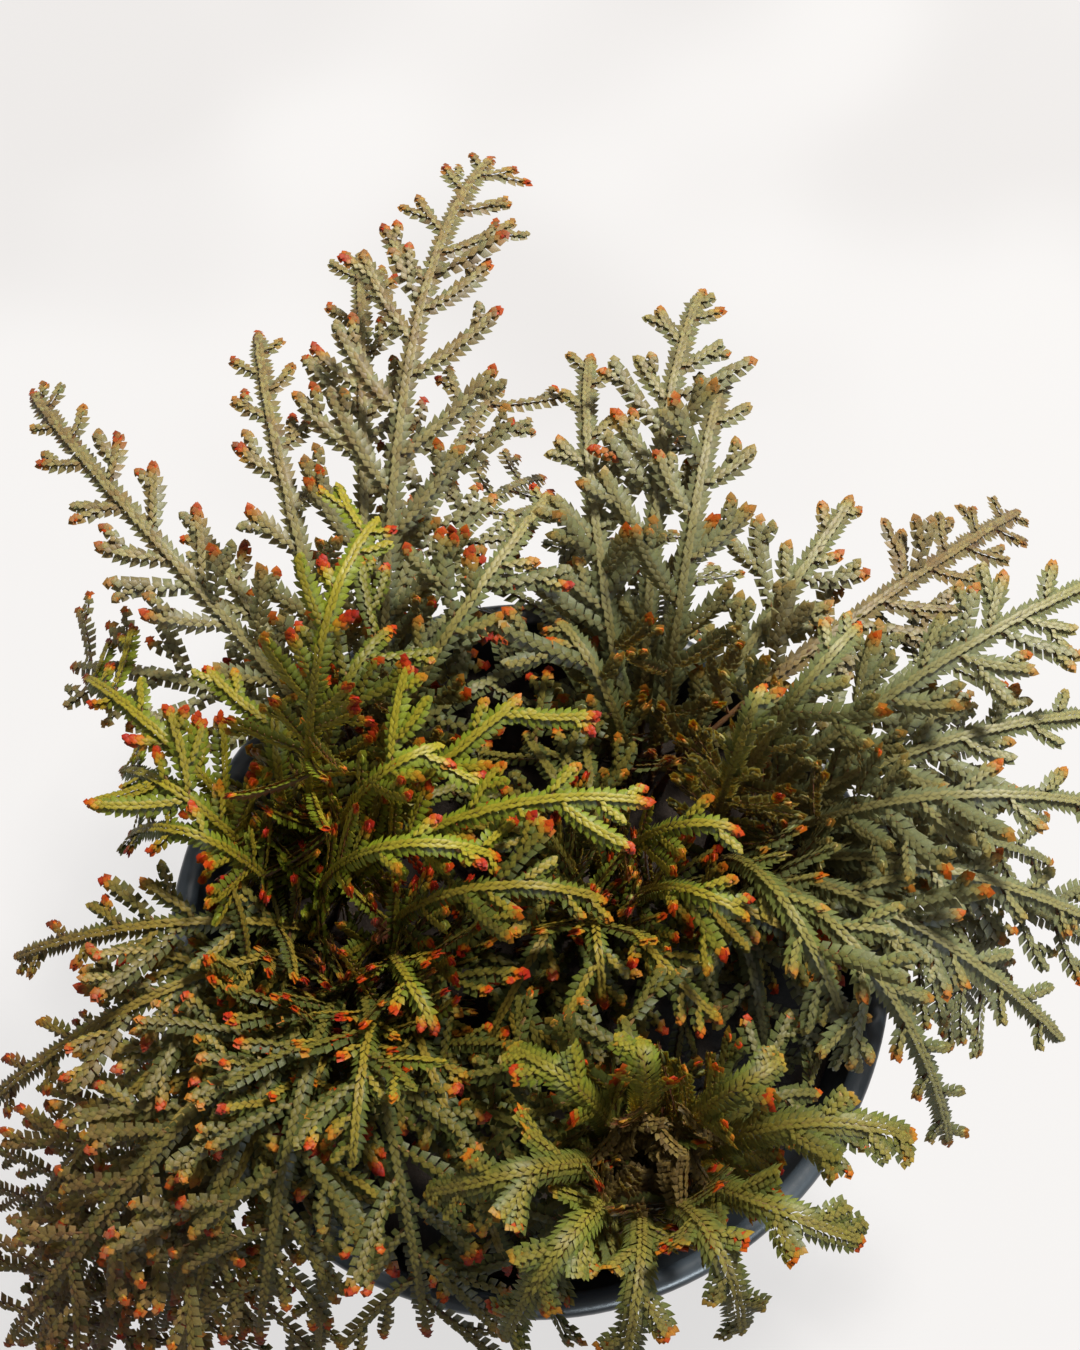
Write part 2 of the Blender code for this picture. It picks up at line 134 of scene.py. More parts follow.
@dataclass(frozen=True)
class Tuft:
    """Where a group of fronds leaves the soil, how high its stalks first head, and how it grows and looks.

    vigour_and_light runs from bronze olive to bright yellow green, and cool from warm green to grey green;
    both are partly the fronds' own tone and partly painted light, brighter and warmer on tufts that are
    sunlit, darker and greyer on tufts in shade. closed runs from leaves that stand apart to leaves that
    overlap in a flat blade, flush is how strongly the tips colour, rust is how brown the outer leaves are,
    pitch is the distance between leaves, lobe_gap that between lobes, and low_reach is the reach of the lower
    fronds as a share of the reach of those above.
    leafy_from and brown_to are shares of the bare stalk: where its leaves start, and where they stop being
    brown. inner_shade is taken off the vigour of the inner fronds. twig_to is where the last twig leaves the
    leafy part, twig_scale makes twigs longer, and spread is how much further those on the stalk stand out, in
    degrees. Full twigs are as leafy as side branches, a lobed stalk has lobes of its own, and a thick tuft
    has six ranks of leaves.
    """

    x: float
    y: float
    climb: float
    vigour_and_light: float
    cool: float
    closed: float
    flush: float
    pitch: float = 1.04
    rust: float = 0.0
    lobe_gap: float = 3.4
    low_reach: float = 0.78
    leafy_from: float = 0.62
    brown_to: float = 1.0
    inner_shade: float = 0.25
    twig_to: float = 0.6
    twig_scale: float = 1.0
    spread: float = 0.0
    full_twigs: bool = False
    lobed_stalk: bool = False
    thick: bool = False
    crown: Crown | None = None


@dataclass(frozen=True)
class Shoot:
    """The plan of one frond: its tip from the pot's axis and above the rim, and how it gets there.

    crest is how high over the rim it arches, bend how far it swings out on the way, bare the share of it that
    is stalk, and reach the length of its longest side branches.
    """

    tuft: str
    tip: tuple
    crest: float
    bend: float
    bare: float
    reach: float = 0.0
    width: float = 3.6


@dataclass
class Branch:
    """A leafy axis: points one step apart with the directions across it and up from its flat face.

    ruby and woody are how far its leaves are red or brown all along it.
    """

    line: np.ndarray
    across: np.ndarray
    up: np.ndarray
    width: float
    ruby: float = 0.0
    woody: float = 0.0

    def frames(self, distances: np.ndarray) -> tuple:
        """Frames along the axis.

        Args:
            distances: How far along it they are wanted.

        Returns:
            The place, the way ahead, the way across and the way up at each distance.
        """
        index = np.arange(len(self.line))
        ahead = unit(np.gradient(self.line, axis=0))
        found = []
        for rows in (self.line, ahead, self.across, self.up):
            found.append(np.column_stack([np.interp(distances, index, rows[:, axis]) for axis in range(3)]))
        return found[0], unit(found[1]), unit(found[2]), unit(found[3])

    def faced_up(self) -> "Branch":
        """Turns the axis over if its upper face looks down.

        Returns:
            The axis.
        """
        if self.up[:, 2].mean() < 0:
            self.up = -self.up
            self.across = -self.across
        return self


@dataclass
class Frond:
    """A main axis with what grows from it: side branches, twigs, lobes and inner twigs.

    Its number marks its room, bare is the length of its stalk, and pitch the distance between side branches.
    """

    number: int
    name: str
    shoot: Shoot
    main: Branch
    bare: int
    pitch: float = 0.0
    sides: list = field(default_factory=list)
    twigs: list = field(default_factory=list)
    lobes: list = field(default_factory=list)
    inner: list = field(default_factory=list)

    def axes(self) -> list[Branch]:
        """All its axes but the inner twigs."""
        return [self.main, *self.sides, *self.twigs, *self.lobes]


TUFTS = {
    "front": Tuft(
        16.0, -33.0, 50.0, vigour_and_light=0.42, cool=0.18, closed=0.9, flush=0.85,
        leafy_from=0.15, brown_to=0.8, thick=True, crown=Crown(0.6, 9.5, 1.0, 62.0, 22.0),
    ),
    "right": Tuft(
        30.0, 14.0, 34.0, vigour_and_light=0.5, cool=0.7, closed=1.0, flush=0.6, pitch=1.1, rust=0.08, low_reach=0.85,
    ),
    "middle": Tuft(
        10.0, 6.0, 36.0, vigour_and_light=0.6, cool=0.3, closed=0.3, flush=1.05,
        lobed_stalk=True, crown=Crown(0.0, 10.0, 1.05, 44.0, 60.0),
    ),
    "back": Tuft(
        17.0, 26.0, 26.0, vigour_and_light=0.5, cool=0.7, closed=1.0, flush=0.65,
        pitch=1.2, rust=0.3, lobe_gap=4.0, low_reach=0.65,
    ),
    "left": Tuft(
        -32.0, 9.0, 32.0, vigour_and_light=0.78, cool=0.0, closed=0.4, flush=1.05, lobe_gap=2.8,
        leafy_from=0.4, brown_to=0.55, inner_shade=0.05, twig_to=0.9, spread=36.0, full_twigs=True,
        lobed_stalk=True, crown=Crown(0.0, 15.0, 1.12, 50.0, 40.0),
    ),
    "rear": Tuft(
        -24.0, 26.0, 34.0, vigour_and_light=0.6, cool=0.7, closed=0.7, flush=1.0,
        pitch=1.25, rust=0.45, lobe_gap=4.0, low_reach=0.65,
    ),
    "near": Tuft(
        -25.0, -5.0, 30.0, vigour_and_light=0.48, cool=0.1, closed=0.5, flush=1.1, pitch=1.1, rust=0.6, lobe_gap=2.9,
        low_reach=0.85, brown_to=0.65, twig_scale=1.25, spread=36.0, crown=Crown(0.0, 15.0, 1.12, 50.0, 40.0),
    ),
}

SHOOTS = [
    Shoot("front", (49, -32, 38), 46, 4, 0.56, 10, 5.2),
    Shoot("front", (43, -44, 34), 44, -3, 0.56, 9, 5.2),
    Shoot("front", (32, -22, 42), 48, -2, 0.6, 9, 4.8),
    Shoot("front", (27, -55, 28), 42, 2, 0.56, 8, 5.2),
    Shoot("front", (14, -20, 43), 50, 0, 0.64, 8, 4.8),
    Shoot("front", (12, -60, 28), 42, 1, 0.56, 9, 5.2),
    Shoot("front", (-3, -56, 22), 40, -2, 0.54, 9, 5.2),
    Shoot("front", (-2, -20, 36), 46, 0, 0.58, 8, 4.8),
    Shoot("front", (-13, -38, 30), 44, 2, 0.54, 9, 4.8),
    Shoot("rear", (-6, 122, 8), 44, 9, 0.27, 20),
    Shoot("left", (-20, 49, 46), 58, 3, 0.5, 9),
    Shoot("rear", (-26, 105, 12), 40, -2, 0.3, 15),
    Shoot("rear", (-41, 92, 10), 36, 2, 0.3, 12),
    Shoot("rear", (-75, 83, 8), 38, 5, 0.3, 13),
    Shoot("rear", (-50, 62, 14), 30, 0, 0.42, 10),
    Shoot("rear", (3, 64, 16), 34, -3, 0.45, 9),
    Shoot("left", (17, 13, 34), 42, 5, 0.27, 11),
    Shoot("left", (0, 28, 38), 46, -2, 0.4, 10),
    Shoot("left", (-12, 21, 34), 42, 0, 0.46, 8),
    Shoot("left", (-35, 30, 26), 34, 0, 0.5, 7),
    Shoot("left", (-4, 7, 26), 34, 2, 0.36, 8),
    Shoot("left", (-64, 37, 12), 36, 0, 0.34, 9),
    Shoot("left", (-58, 23, 10), 32, 0, 0.36, 8),
    Shoot("left", (-56, 14, 8), 28, 0, 0.38, 7),
    Shoot("middle", (28, 9, 36), 42, 2, 0.5, 9),
    Shoot("middle", (29, -2, 32), 40, 0, 0.48, 9),
    Shoot("middle", (26, -14, 24), 36, -3, 0.48, 8),
    Shoot("middle", (10, -12, 22), 34, 0, 0.5, 8),
    Shoot("middle", (-6, -16, 14), 28, 0, 0.45, 8),
    Shoot("middle", (44, -5, 14), 32, 0, 0.42, 8),
    Shoot("middle", (-9, 14, 16), 28, 0, 0.42, 8),
    Shoot("back", (78, 74, -20), 22, -4, 0.5, 12),
    Shoot("back", (26, 97, 14), 34, 6, 0.32, 14),
    Shoot("back", (9, 87, 12), 30, 5, 0.34, 10),
    Shoot("back", (29, 83, 15), 32, 2, 0.3, 13),
    Shoot("back", (49, 64, 18), 34, -2, 0.3, 10),
    Shoot("back", (4, 43, 20), 32, 0, 0.42, 9),
    Shoot("right", (31, 27, 42), 48, 0, 0.6, 7),
    Shoot("right", (45, 38, 34), 44, 0, 0.45, 9),
    Shoot("right", (82, 49, 22), 40, 0, 0.32, 13),
    Shoot("right", (81, 31, 16), 36, 0, 0.32, 11),
    Shoot("right", (81, 16, 18), 36, 0, 0.32, 11),
    Shoot("right", (80, 3, 8), 32, 0, 0.32, 10),
    Shoot("right", (76, -14, 2), 32, 0, 0.34, 10),
    Shoot("right", (60, -28, -8), 32, 4, 0.34, 9),
    Shoot("right", (48, -18, 4), 30, 0, 0.4, 8),
    Shoot("near", (10, 1, 24), 36, 2, 0.36, 9),
    Shoot("near", (-12, -17, 28), 36, 0, 0.5, 9),
    Shoot("near", (-23, -34, 28), 38, 0, 0.45, 8),
    Shoot("near", (-74, -2, 2), 30, 0, 0.33, 10),
    Shoot("near", (-78, -22, -5), 28, 0, 0.32, 11),
    Shoot("near", (-72, -38, -10), 26, 0, 0.32, 11),
    Shoot("near", (-70, -56, -14), 28, -3, 0.32, 12),
    Shoot("near", (-50, -58, -12), 28, 0, 0.32, 11),
    Shoot("near", (-30, -57, -10), 28, 0, 0.34, 10),
    Shoot("near", (-8, -48, 6), 30, 0, 0.4, 9),
    Shoot("near", (-60, -44, -18), 18, 0, 0.4, 10),
    Shoot("near", (-38, -50, -14), 20, 0, 0.42, 10),
]

UNDERGROWTH = [
    Shoot("near", (-31, -57, -7), 24, 0, 0.3),
    Shoot("near", (-22, -60, -9), 24, 2, 0.3),
    Shoot("near", (-14, -56, -4), 26, -2, 0.3),
    Shoot("near", (-66, -60, -16), 20, 0, 0.32),
    Shoot("near", (-53, -64, -18), 20, 2, 0.32),
    Shoot("near", (-40, -62, -15), 20, -2, 0.32),
    Shoot("rear", (-12, 58, 6), 26, 0, 0.4),
    Shoot("back", (2, 58, 6), 24, 0, 0.4),
    Shoot("back", (24, 58, 4), 24, -2, 0.4),
    Shoot("rear", (3, 82, 6), 26, 3, 0.4),
    Shoot("rear", (-73, 52, 6), 26, 0, 0.4),
    Shoot("right", (84, 8, 2), 26, 0, 0.4),
    Shoot("right", (83, -6, -4), 24, 0, 0.4),
    Shoot("left", (-12, -7, 14), 24, 0, 0.35),
    Shoot("left", (-3, 19, 14), 24, 2, 0.35),
    Shoot("near", (-5, -10, 14), 24, 0, 0.35),
    Shoot("near", (-12, -30, 14), 24, 0, 0.35),
    Shoot("left", (-8, 3, 22), 30, 0, 0.35),
    Shoot("near", (-9, 8, 18), 26, 2, 0.35),
    Shoot("middle", (-13, 6, 12), 22, 0, 0.35),
    Shoot("middle", (13, 31, 12), 24, 0, 0.35),
    Shoot("middle", (2, 28, 10), 22, 2, 0.35),
    Shoot("near", (-44, -55, -2), 24, 0, 0.35),
]


def unit(vectors: np.ndarray) -> np.ndarray:
    """Scales each vector to a length of one."""
    return vectors / np.linalg.norm(vectors, axis=-1, keepdims=True)


def column(values: Any, count: int) -> np.ndarray:
    """Values as a column, in which one number holds for every row."""
    return np.broadcast_to(values, count)[:, None]


def either_side(chance: np.random.Generator) -> int:
    """Draws the left or the right side."""
    return int(chance.choice((Side.LEFT.value, Side.RIGHT.value)))


def linked(name: str, data: Any) -> bpy.types.Object:
    """Puts a new object in the scene.

    Args:
        name: Its name.
        data: The mesh, curve, lamp or camera that it holds.

    Returns:
        The object.
    """
    holder = bpy.data.objects.new(name, data)
    bpy.context.scene.collection.objects.link(holder)
    return holder


def made_from(mesh: bmesh.types.BMesh, name: str) -> bpy.types.Mesh:
    """Makes a finished mesh of one that was modelled, and frees the second.

    Args:
        mesh: The mesh that was modelled.
        name: The finished mesh's name.

    Returns:
        The finished mesh.
    """
    made = bpy.data.meshes.new(name)
    mesh.to_mesh(made)
    mesh.free()
    return made


def read_triangles(mesh: bmesh.types.BMesh) -> tuple[np.ndarray, np.ndarray]:
    """Reads a mesh of triangles and frees it.

    Args:
        mesh: The mesh.

    Returns:
        Its corners, and the numbers of each triangle's corners.
    """
    mesh.verts.index_update()
    places = np.array([corner.co[:] for corner in mesh.verts])
    faces = np.array([[corner.index for corner in face.verts] for face in mesh.faces])
    mesh.free()
    return places, faces


@dataclass
class Room:
    """The air in and above the pot, in small cubes that each hold the number of the frond that fills them."""

    cell: float = 0.5
    frond_gap: float = 2.2
    rim_gap: float = 2.2
    low: tuple = (-110.0, -95.0, 30.0)
    size: tuple = (225.0, 240.0, 125.0)

    def __post_init__(self) -> None:
        """Opens every cube and lists the cubes that one point's ball fills."""
        self.owner = np.zeros((np.array(self.size) / self.cell).astype(int), np.uint8)
        reach = int(self.frond_gap / self.cell) + 1
        span = np.arange(-reach, reach + 1)
        cubes = np.stack(np.meshgrid(span, span, span), axis=-1).reshape(-1, 3)
        self.ball = cubes[np.linalg.norm(cubes, axis=1) * self.cell <= self.frond_gap]

    def cubes(self, points: np.ndarray) -> np.ndarray:
        """The cube that each point lies in."""
        return ((points - np.array(self.low)) / self.cell).astype(int)

    def holds(self, points: np.ndarray, number: int) -> bool:
        """Whether points are clear of the pot, the soil and every other frond.

        Args:
            points: The points.
            number: The number of the frond that wants them.

        Returns:
            Whether the frond may fill them.
        """
        radius = np.hypot(points[:, 0], points[:, 1])
        height = points[:, 2] - POT.height
        wall = POT.mouth_radius - POT.wall - self.rim_gap
        near_wall = (radius > wall) & (radius < POT.rim_radius + self.rim_gap)
        at_pot = near_wall & (height < self.rim_gap)
        in_soil = (radius < POT.mouth_radius) & (height < self.rim_gap - POT.soil_depth)
        if np.any(at_pot | in_soil):
            return False
        owners = self.owner[tuple(self.cubes(points).T)]
        return not np.any((owners != 0) & (owners != number))

    def fill(self, points: np.ndarray, number: int) -> None:
        """Marks the cubes around these points as one frond's."""
        cubes = (self.cubes(points)[:, None, :] + self.ball[None, :, :]).reshape(-1, 3)
        self.owner[tuple(cubes.T)] = number


@dataclass
class Clump:
    """Grows the fronds in the frame's order and with its draws, each clear of the ones before it."""

    step: float = 1.0
    root_spacing: float = 2.9
    climb_share: float = 0.08
    crest_share: float = 0.62
    crest_lead: float = 6.0
    heading_pull: float = 0.35
    tip_lift: float = 0.5
    curve_points: int = 240
    fork_pitch: float = 5.6
    tip_length: float = 6.0
    fork_angle: float = 47.0
    angle_spread: float = 5.0
    fork_sweep: float = 18.0
    tilt_fade: float = 0.5
    least_forks: int = 2
    shortest: float = 5.5
    reach_fall: float = 0.62
    fall_power: float = 1.4
    reach_spread: tuple = (0.82, 1.12)
    branch_width: float = 0.92
    edge_share: float = 0.36
    branch_start: int = 3
    stalk_start: int = 4
    seed: int = 11
    lifts: tuple = (0.0, 2.0, -2.0, 4.0, -4.0, 6.0, -6.0, 9.0, -9.0, 12.0, -12.0)
    swings: tuple = (0.0, 2.0, -2.0, 4.0, -4.0, 7.0, -7.0, 10.0, -10.0)
    tilts: tuple = (0.0, 14.0, -14.0, 28.0, -28.0, 42.0, -42.0)
    trims: tuple = (1.0, 0.75, 0.55)

    def __post_init__(self) -> None:
        """Starts with open air."""
        self.room = Room()

    def main_axis(self, shoot: Shoot, root: np.ndarray, lift: float, swing: float) -> Branch:
        """The arching axis of one frond, from its root in the soil to its tip.

        Args:
            shoot: The frond's plan.
            root: Where it leaves the soil.
            lift: How much higher than planned it arches.
            swing: How far its heading turns, in degrees.

        Returns:
            The axis.
        """
        turn = math.radians(swing)
        spin = np.array([[math.cos(turn), -math.sin(turn)], [math.sin(turn), math.cos(turn)]])
        flat = spin @ (np.array(shoot.tip[:2]) - root[:2])
        tip = np.array([*(root[:2] + flat), POT.height + shoot.tip[2] + lift * self.tip_lift])
        left = unit(np.array([-flat[1], flat[0]]))
        climb = POT.height + max(TUFTS[shoot.tuft].climb, shoot.crest - self.crest_lead) + lift
        first = np.array([*(root[:2] + flat * self.climb_share), climb])
        over = root[:2] + flat * self.crest_share + left * shoot.bend
        second = np.array([*over, POT.height + shoot.crest + lift])
        return self.arch((root, first, second, tip), shoot.width)

    def arch(self, handles: tuple, width: float) -> Branch:
        """A leafy axis along a smooth curve, with its flat face up.

        Args:
            handles: The root, the two places that the curve bends towards, and the tip.
            width: The axis's width.

        Returns:
            The axis.
        """
        root, first, second, tip = handles
        flat = tip[:2] - root[:2]
        share = np.linspace(0.0, 1.0, self.curve_points)[:, None]
        curve = (
            root * (1 - share) ** 3
            + first * 3 * share * (1 - share) ** 2
            + second * 3 * share**2 * (1 - share)
            + tip * share**3
        )
        run = np.concatenate([[0.0], np.cumsum(np.linalg.norm(np.diff(curve, axis=0), axis=1))])
        marks = np.arange(0.0, run[-1], self.step)
        line = np.column_stack([np.interp(marks, run, curve[:, axis]) for axis in range(3)])
        ahead = unit(np.gradient(line, axis=0))
        heading = unit(ahead[:, :2] + unit(flat) * self.heading_pull)
        across = np.column_stack([heading[:, 1], -heading[:, 0], np.zeros(len(line))])
        across = unit(across - ahead * np.sum(across * ahead, axis=1, keepdims=True))
        return Branch(line, across, np.cross(across, ahead), width)

    def side_axis(self, main: Branch, at: int, side: int, length: float, angle: float, tilt: float) -> Branch:
        """A side branch that leaves an axis at one of its points and curves forwards.

        Args:
            main: The axis that it leaves.
            at: The axis's point that it leaves from.
            side: 1 for the right side, -1 for the left.
            length: Its length.
            angle: The angle between the two, in degrees.
            tilt: How far it rises out of the frond's plane, in degrees.

        Returns:
            The side branch.
        """
        ahead = unit(main.line[at + 1] - main.line[at])
        share = np.arange(0.0, length, self.step)[:, None] / length
        turn = np.radians(angle - self.fork_sweep * share)
        rise = math.tan(math.radians(tilt)) * (1 - self.tilt_fade * share)
        ways = unit(ahead * np.cos(turn) + main.across[at] * side * np.sin(turn) + main.up[at] * rise)
        line = main.line[at] + np.vstack([np.zeros(3), np.cumsum(ways, axis=0)[:-1] * self.step])
        up = unit(main.up[at] - ways * (ways @ main.up[at])[:, None])
        return Branch(line, np.cross(ways, up), up, main.width * self.branch_width)

    def body_points(self, branch: Branch, start: int) -> np.ndarray:
        """Points spread over a leafy axis.

        Args:
            branch: The axis.
            start: How far along it they start.

        Returns:
            Points down its middle and along both edges.
        """
        middle = branch.line[start:]
        edge = branch.across[start:] * branch.width * self.edge_share
        return np.vstack([middle, middle - edge, middle + edge])

    def root_places(self) -> list[np.ndarray]:
        """Places each frond's root round its tuft's centre, in the order of the fronds' headings.

        Returns:
            Where each frond leaves the soil, in the order of SHOOTS.
        """
        places: list = [None] * len(SHOOTS)
        for name, tuft in TUFTS.items():
            members = [number for number, shoot in enumerate(SHOOTS) if shoot.tuft == name]
            headings = {
                number: math.atan2(SHOOTS[number].tip[1] - tuft.y, SHOOTS[number].tip[0] - tuft.x)
                for number in members
            }
            members.sort(key=headings.get)
            share = math.tau / len(members)
            offset = sum(headings[number] - share * place for place, number in enumerate(members))
            offset /= len(members)
            ring = len(members) * self.root_spacing / math.tau
            for place, number in enumerate(members):
                x = tuft.x + ring * math.cos(offset + share * place)
                y = tuft.y + ring * math.sin(offset + share * place)
                places[number] = np.array([x, y, POT.soil_height(math.hypot(x, y)) + POT.clearance * 2])
        return places

    def place_main(self, number: int, shoot: Shoot, root: np.ndarray) -> tuple[Branch, int]:
        """Finds the first way for a frond's axis to reach its tip that is clear of the others.

        Args:
            number: The frond's number.
            shoot: Its plan.
            root: Where it leaves the soil.

        Returns:
            The axis and the length of its bare stalk.
        """
        for swing in self.swings:
            for lift in self.lifts:
                main = self.main_axis(shoot, root, lift, swing)
                bare = int(len(main.line) * shoot.bare)
                leafy = self.body_points(main, bare)
                stalk = main.line[self.stalk_start : bare]
                if self.room.holds(leafy, number) and self.room.holds(stalk, number):
                    self.room.fill(np.vstack([leafy, main.line[:bare]]), number)
                    return main, bare
        raise ValueError(f"no room for {shoot}")

    def place_side(self, frond: Frond, fork: int, side: int, wanted: float, angle: float) -> None:
        """Adds a side branch to a frond in the first way that is clear of the others, if there is one.

        Args:
            frond: The frond.
            fork: Which of its forks the branch grows from.
            side: 1 for the right side, -1 for the left.
            wanted: The length that it would have.
            angle: The angle between it and the frond's axis, in degrees.
        """
        at = int(frond.bare + frond.pitch * (fork + 0.5))
        for trim, tilt in product(self.trims, self.tilts):
            branch = self.side_axis(frond.main, at, side, max(wanted * trim, self.shortest), angle, tilt)
            points = self.body_points(branch, self.branch_start)
            if self.room.holds(points, frond.number):
                self.room.fill(points, frond.number)
                frond.sides.append(branch)
                return

    def grow(self) -> list[Frond]:
        """Grows every frond and its side branches.

        Returns:
            The fronds, in the order of SHOOTS.
        """
        chance = np.random.default_rng(self.seed)
        tally = {name: 0 for name in TUFTS}
        grown = []
        for number, (shoot, root) in enumerate(zip(SHOOTS, self.root_places()), start=1):
            tally[shoot.tuft] += 1
            main, bare = self.place_main(number, shoot, root)
            leafy = len(main.line) - bare - self.tip_length
            forks = max(self.least_forks, round(leafy / self.fork_pitch))
            name = f"{shoot.tuft}_frond_{tally[shoot.tuft]}"
            grown.append((forks, Frond(number, name, shoot, main, bare, leafy / forks)))
        for forks, frond in grown:
            first_side = either_side(chance)
            for fork in range(forks):
                fall = 1 - self.reach_fall * (fork / forks) ** self.fall_power
                wanted = frond.shoot.reach * fall * chance.uniform(*self.reach_spread)
                angle = self.fork_angle + chance.uniform(-self.angle_spread, self.angle_spread)
                side = first_side if fork % 2 else -first_side
                self.place_side(frond, fork, side, wanted, angle)
        return [frond for forks, frond in grown]


@dataclass(frozen=True)
class LowPlan:
    """The plan of one lower frond.

    root is where it leaves the soil, give or take a little, share its reach as a share of its shoot's, drops
    how much higher or lower than its shoot it may arch, and crowded the share of its length past its bare
    stalk that may pass close to others.
    """

    shoot: Shoot
    root: np.ndarray
    share: float
    drops: tuple
    crowded: float


@dataclass
class FineGrowth:
    """Adds what is finer than the frame's solids: lobes, twigs, lower fronds and young shoots.

    A pair of numbers is a range that is drawn from, and angles are in degrees. Mesh may pass closer than
    solids do: gap is kept from other fronds and own_gap from a frond's own axes.
    """

    clump: Clump
    seed: int = 23
    gap: float = 1.5
    own_gap: float = 2.3
    fork_free: int = 2
    fine_width: float = 3.3
    trims: tuple = (1.0, 0.75, 0.55, 0.4)
    thumb: float = 3.6
    thumb_range: tuple = (0.8, 1.2)
    lobe_start: float = 3.5
    stalk_lobe_start: float = 2.0
    lobe_slope: float = 1.1
    lobe_least: float = 1.2
    shortest_lobe: float = 3.2
    longest_lobe: float = 8.5
    longest_main_lobe: float = 12.5
    lobe_lengths: tuple = (0.8, 1.1)
    lobe_angles: tuple = (34.0, 46.0)
    lobe_tilts: tuple = (-8.0, 16.0)
    lobe_steps: tuple = (0.85, 1.2)
    far_from: float = 80.0
    far_gap: float = 3.2
    twig_pitch: float = 4.6
    twig_from: float = 0.2
    crown_twig_to: float = 0.9
    lower_twig_to: float = 0.85
    twig_lengths: tuple = (9.0, 15.0)
    twig_angles: tuple = (44.0, 58.0)
    twig_steps: tuple = (0.8, 1.2)
    twig_trims: tuple = (1.0, 0.65)
    twig_tilts: tuple = (0.0, 20.0, -20.0, 40.0, -40.0)
    spread_to: float = 1.05
    crown_places: tuple = (0.72, 0.81, 0.905, 1.0)
    crown_widening: float = 35.0
    crown_lengths: tuple = (0.65, 1.0)
    crown_width: float = 0.9
    root_shift: float = 1.5
    lower_reaches: tuple = (0.9, 1.05)
    lower_swings: tuple = (7.0, -7.0, 12.0, -12.0, 4.0, -4.0, 18.0, -18.0)
    lower_drops: tuple = (-8.0, -13.0, -5.0, -18.0)
    own_drops: tuple = (0.0, 4.0, -4.0, 8.0, -8.0, 12.0)
    lower_bare: float = 0.04
    own_crowded: float = 0.2
    trailing_from: float = -40.0
    trailing_reach: float = 1.0
    over_rim_from: float = -40.0
    hanging_under: float = 10.0
    open_rim: float = -50.0
    open_above: float = -10.0
    open_tufts: tuple = ("left", "near")
    young: int = 3
    tries: int = 3000
    young_spread: float = 45.0
    young_turn: float = 1.6
    young_reaches: tuple = (10.0, 26.0)
    young_heights: tuple = (10.0, 34.0)
    young_bare: float = 0.28
    young_tip: float = 0.85
    young_first: tuple = (0.8, 0.05)
    young_second: tuple = (1.1, 0.6)
    young_side_share: float = 0.5
    young_side_least: float = 7.0
    young_side_shortest: float = 4.0
    young_side_fall: tuple = (1.2, 0.6)
    young_side_lengths: tuple = (0.8, 1.2)
    young_side_angles: tuple = (42.0, 52.0)
    young_side_tilts: tuple = (-10.0, 20.0)
    young_side_steps: tuple = (0.85, 1.15)
    young_side_end: int = 5

    def __post_init__(self) -> None:
        """Starts with open air and fresh draws."""
        self.room = Room(frond_gap=self.gap)
        self.chance = np.random.default_rng(self.seed)

    def settle(self, frond: Frond, branch: Branch, others: list[Branch], kept: list[Branch]) -> bool:
        """Keeps a new axis if it is clear of its own frond's other axes and of the other fronds.

        Args:
            frond: Its frond.
            branch: The axis.
            others: Its frond's other axes.
            kept: The list that it joins.

        Returns:
            Whether it was kept.
        """
        points = branch.line[self.fork_free :]
        for other in others:
            apart = np.linalg.norm(points[:, None, :] - other.line[None, ::2, :], axis=2)
            if apart.min() < self.own_gap:
                return False
        if not self.room.holds(points, frond.number):
            return False
        self.room.fill(branch.line[1:], frond.number)
        kept.append(branch)
        return True

    def add_lobes(self, frond: Frond, parents: list[Branch]) -> None:
        """Grows lobes left and right in turn from each parent axis, the last a thumb beside its tip.

        Args:
            frond: The frond.
            parents: Its axes that get lobes.
        """
        tuft = TUFTS[frond.shoot.tuft]
        gap = tuft.lobe_gap * (self.far_gap if frond.shoot.tip[1] > self.far_from else 1.0)
        for parent in parents:
            side = either_side(self.chance)
            end = len(parent.line) - 1
            start = self.lobe_start
            longest = self.longest_lobe
            if parent is frond.main:
                longest = self.longest_main_lobe
                start = end - self.clump.tip_length
                if tuft.lobed_stalk:
                    start = frond.bare + self.stalk_lobe_start
            at = end - self.thumb * self.chance.uniform(*self.thumb_range)
            others = [axis for axis in frond.axes() if axis is not parent]
            while at > start:
                longest_here = min(longest, (end - at) * self.lobe_slope + self.lobe_least)
                wanted = longest_here * self.chance.uniform(*self.lobe_lengths)
                tilt = self.chance.uniform(*self.lobe_tilts)
                angle = self.chance.uniform(*self.lobe_angles)
                for trim in self.trims:
                    length = max(wanted * trim, self.shortest_lobe)
                    lobe = self.clump.side_axis(parent, int(at), side, length, angle, tilt)
                    if self.settle(frond, lobe, others, frond.lobes):
                        others.append(lobe)
                        break
                side = -side
                at -= gap * self.chance.uniform(*self.lobe_steps)

    def last_twig(self, frond: Frond) -> float:
        """Finds where the last twig of a frond leaves its axis.

        Args:
            frond: The frond.

        Returns:
            The distance along the axis: on the stalk in a thick tuft, and in the leafy part elsewhere.
        """
        tuft = TUFTS[frond.shoot.tuft]
        leafy = len(frond.main.line) - frond.bare
        if not frond.sides:
            return frond.bare + leafy * self.lower_twig_to
        if tuft.thick:
            return frond.bare * self.crown_twig_to
        return frond.bare + leafy * tuft.twig_to

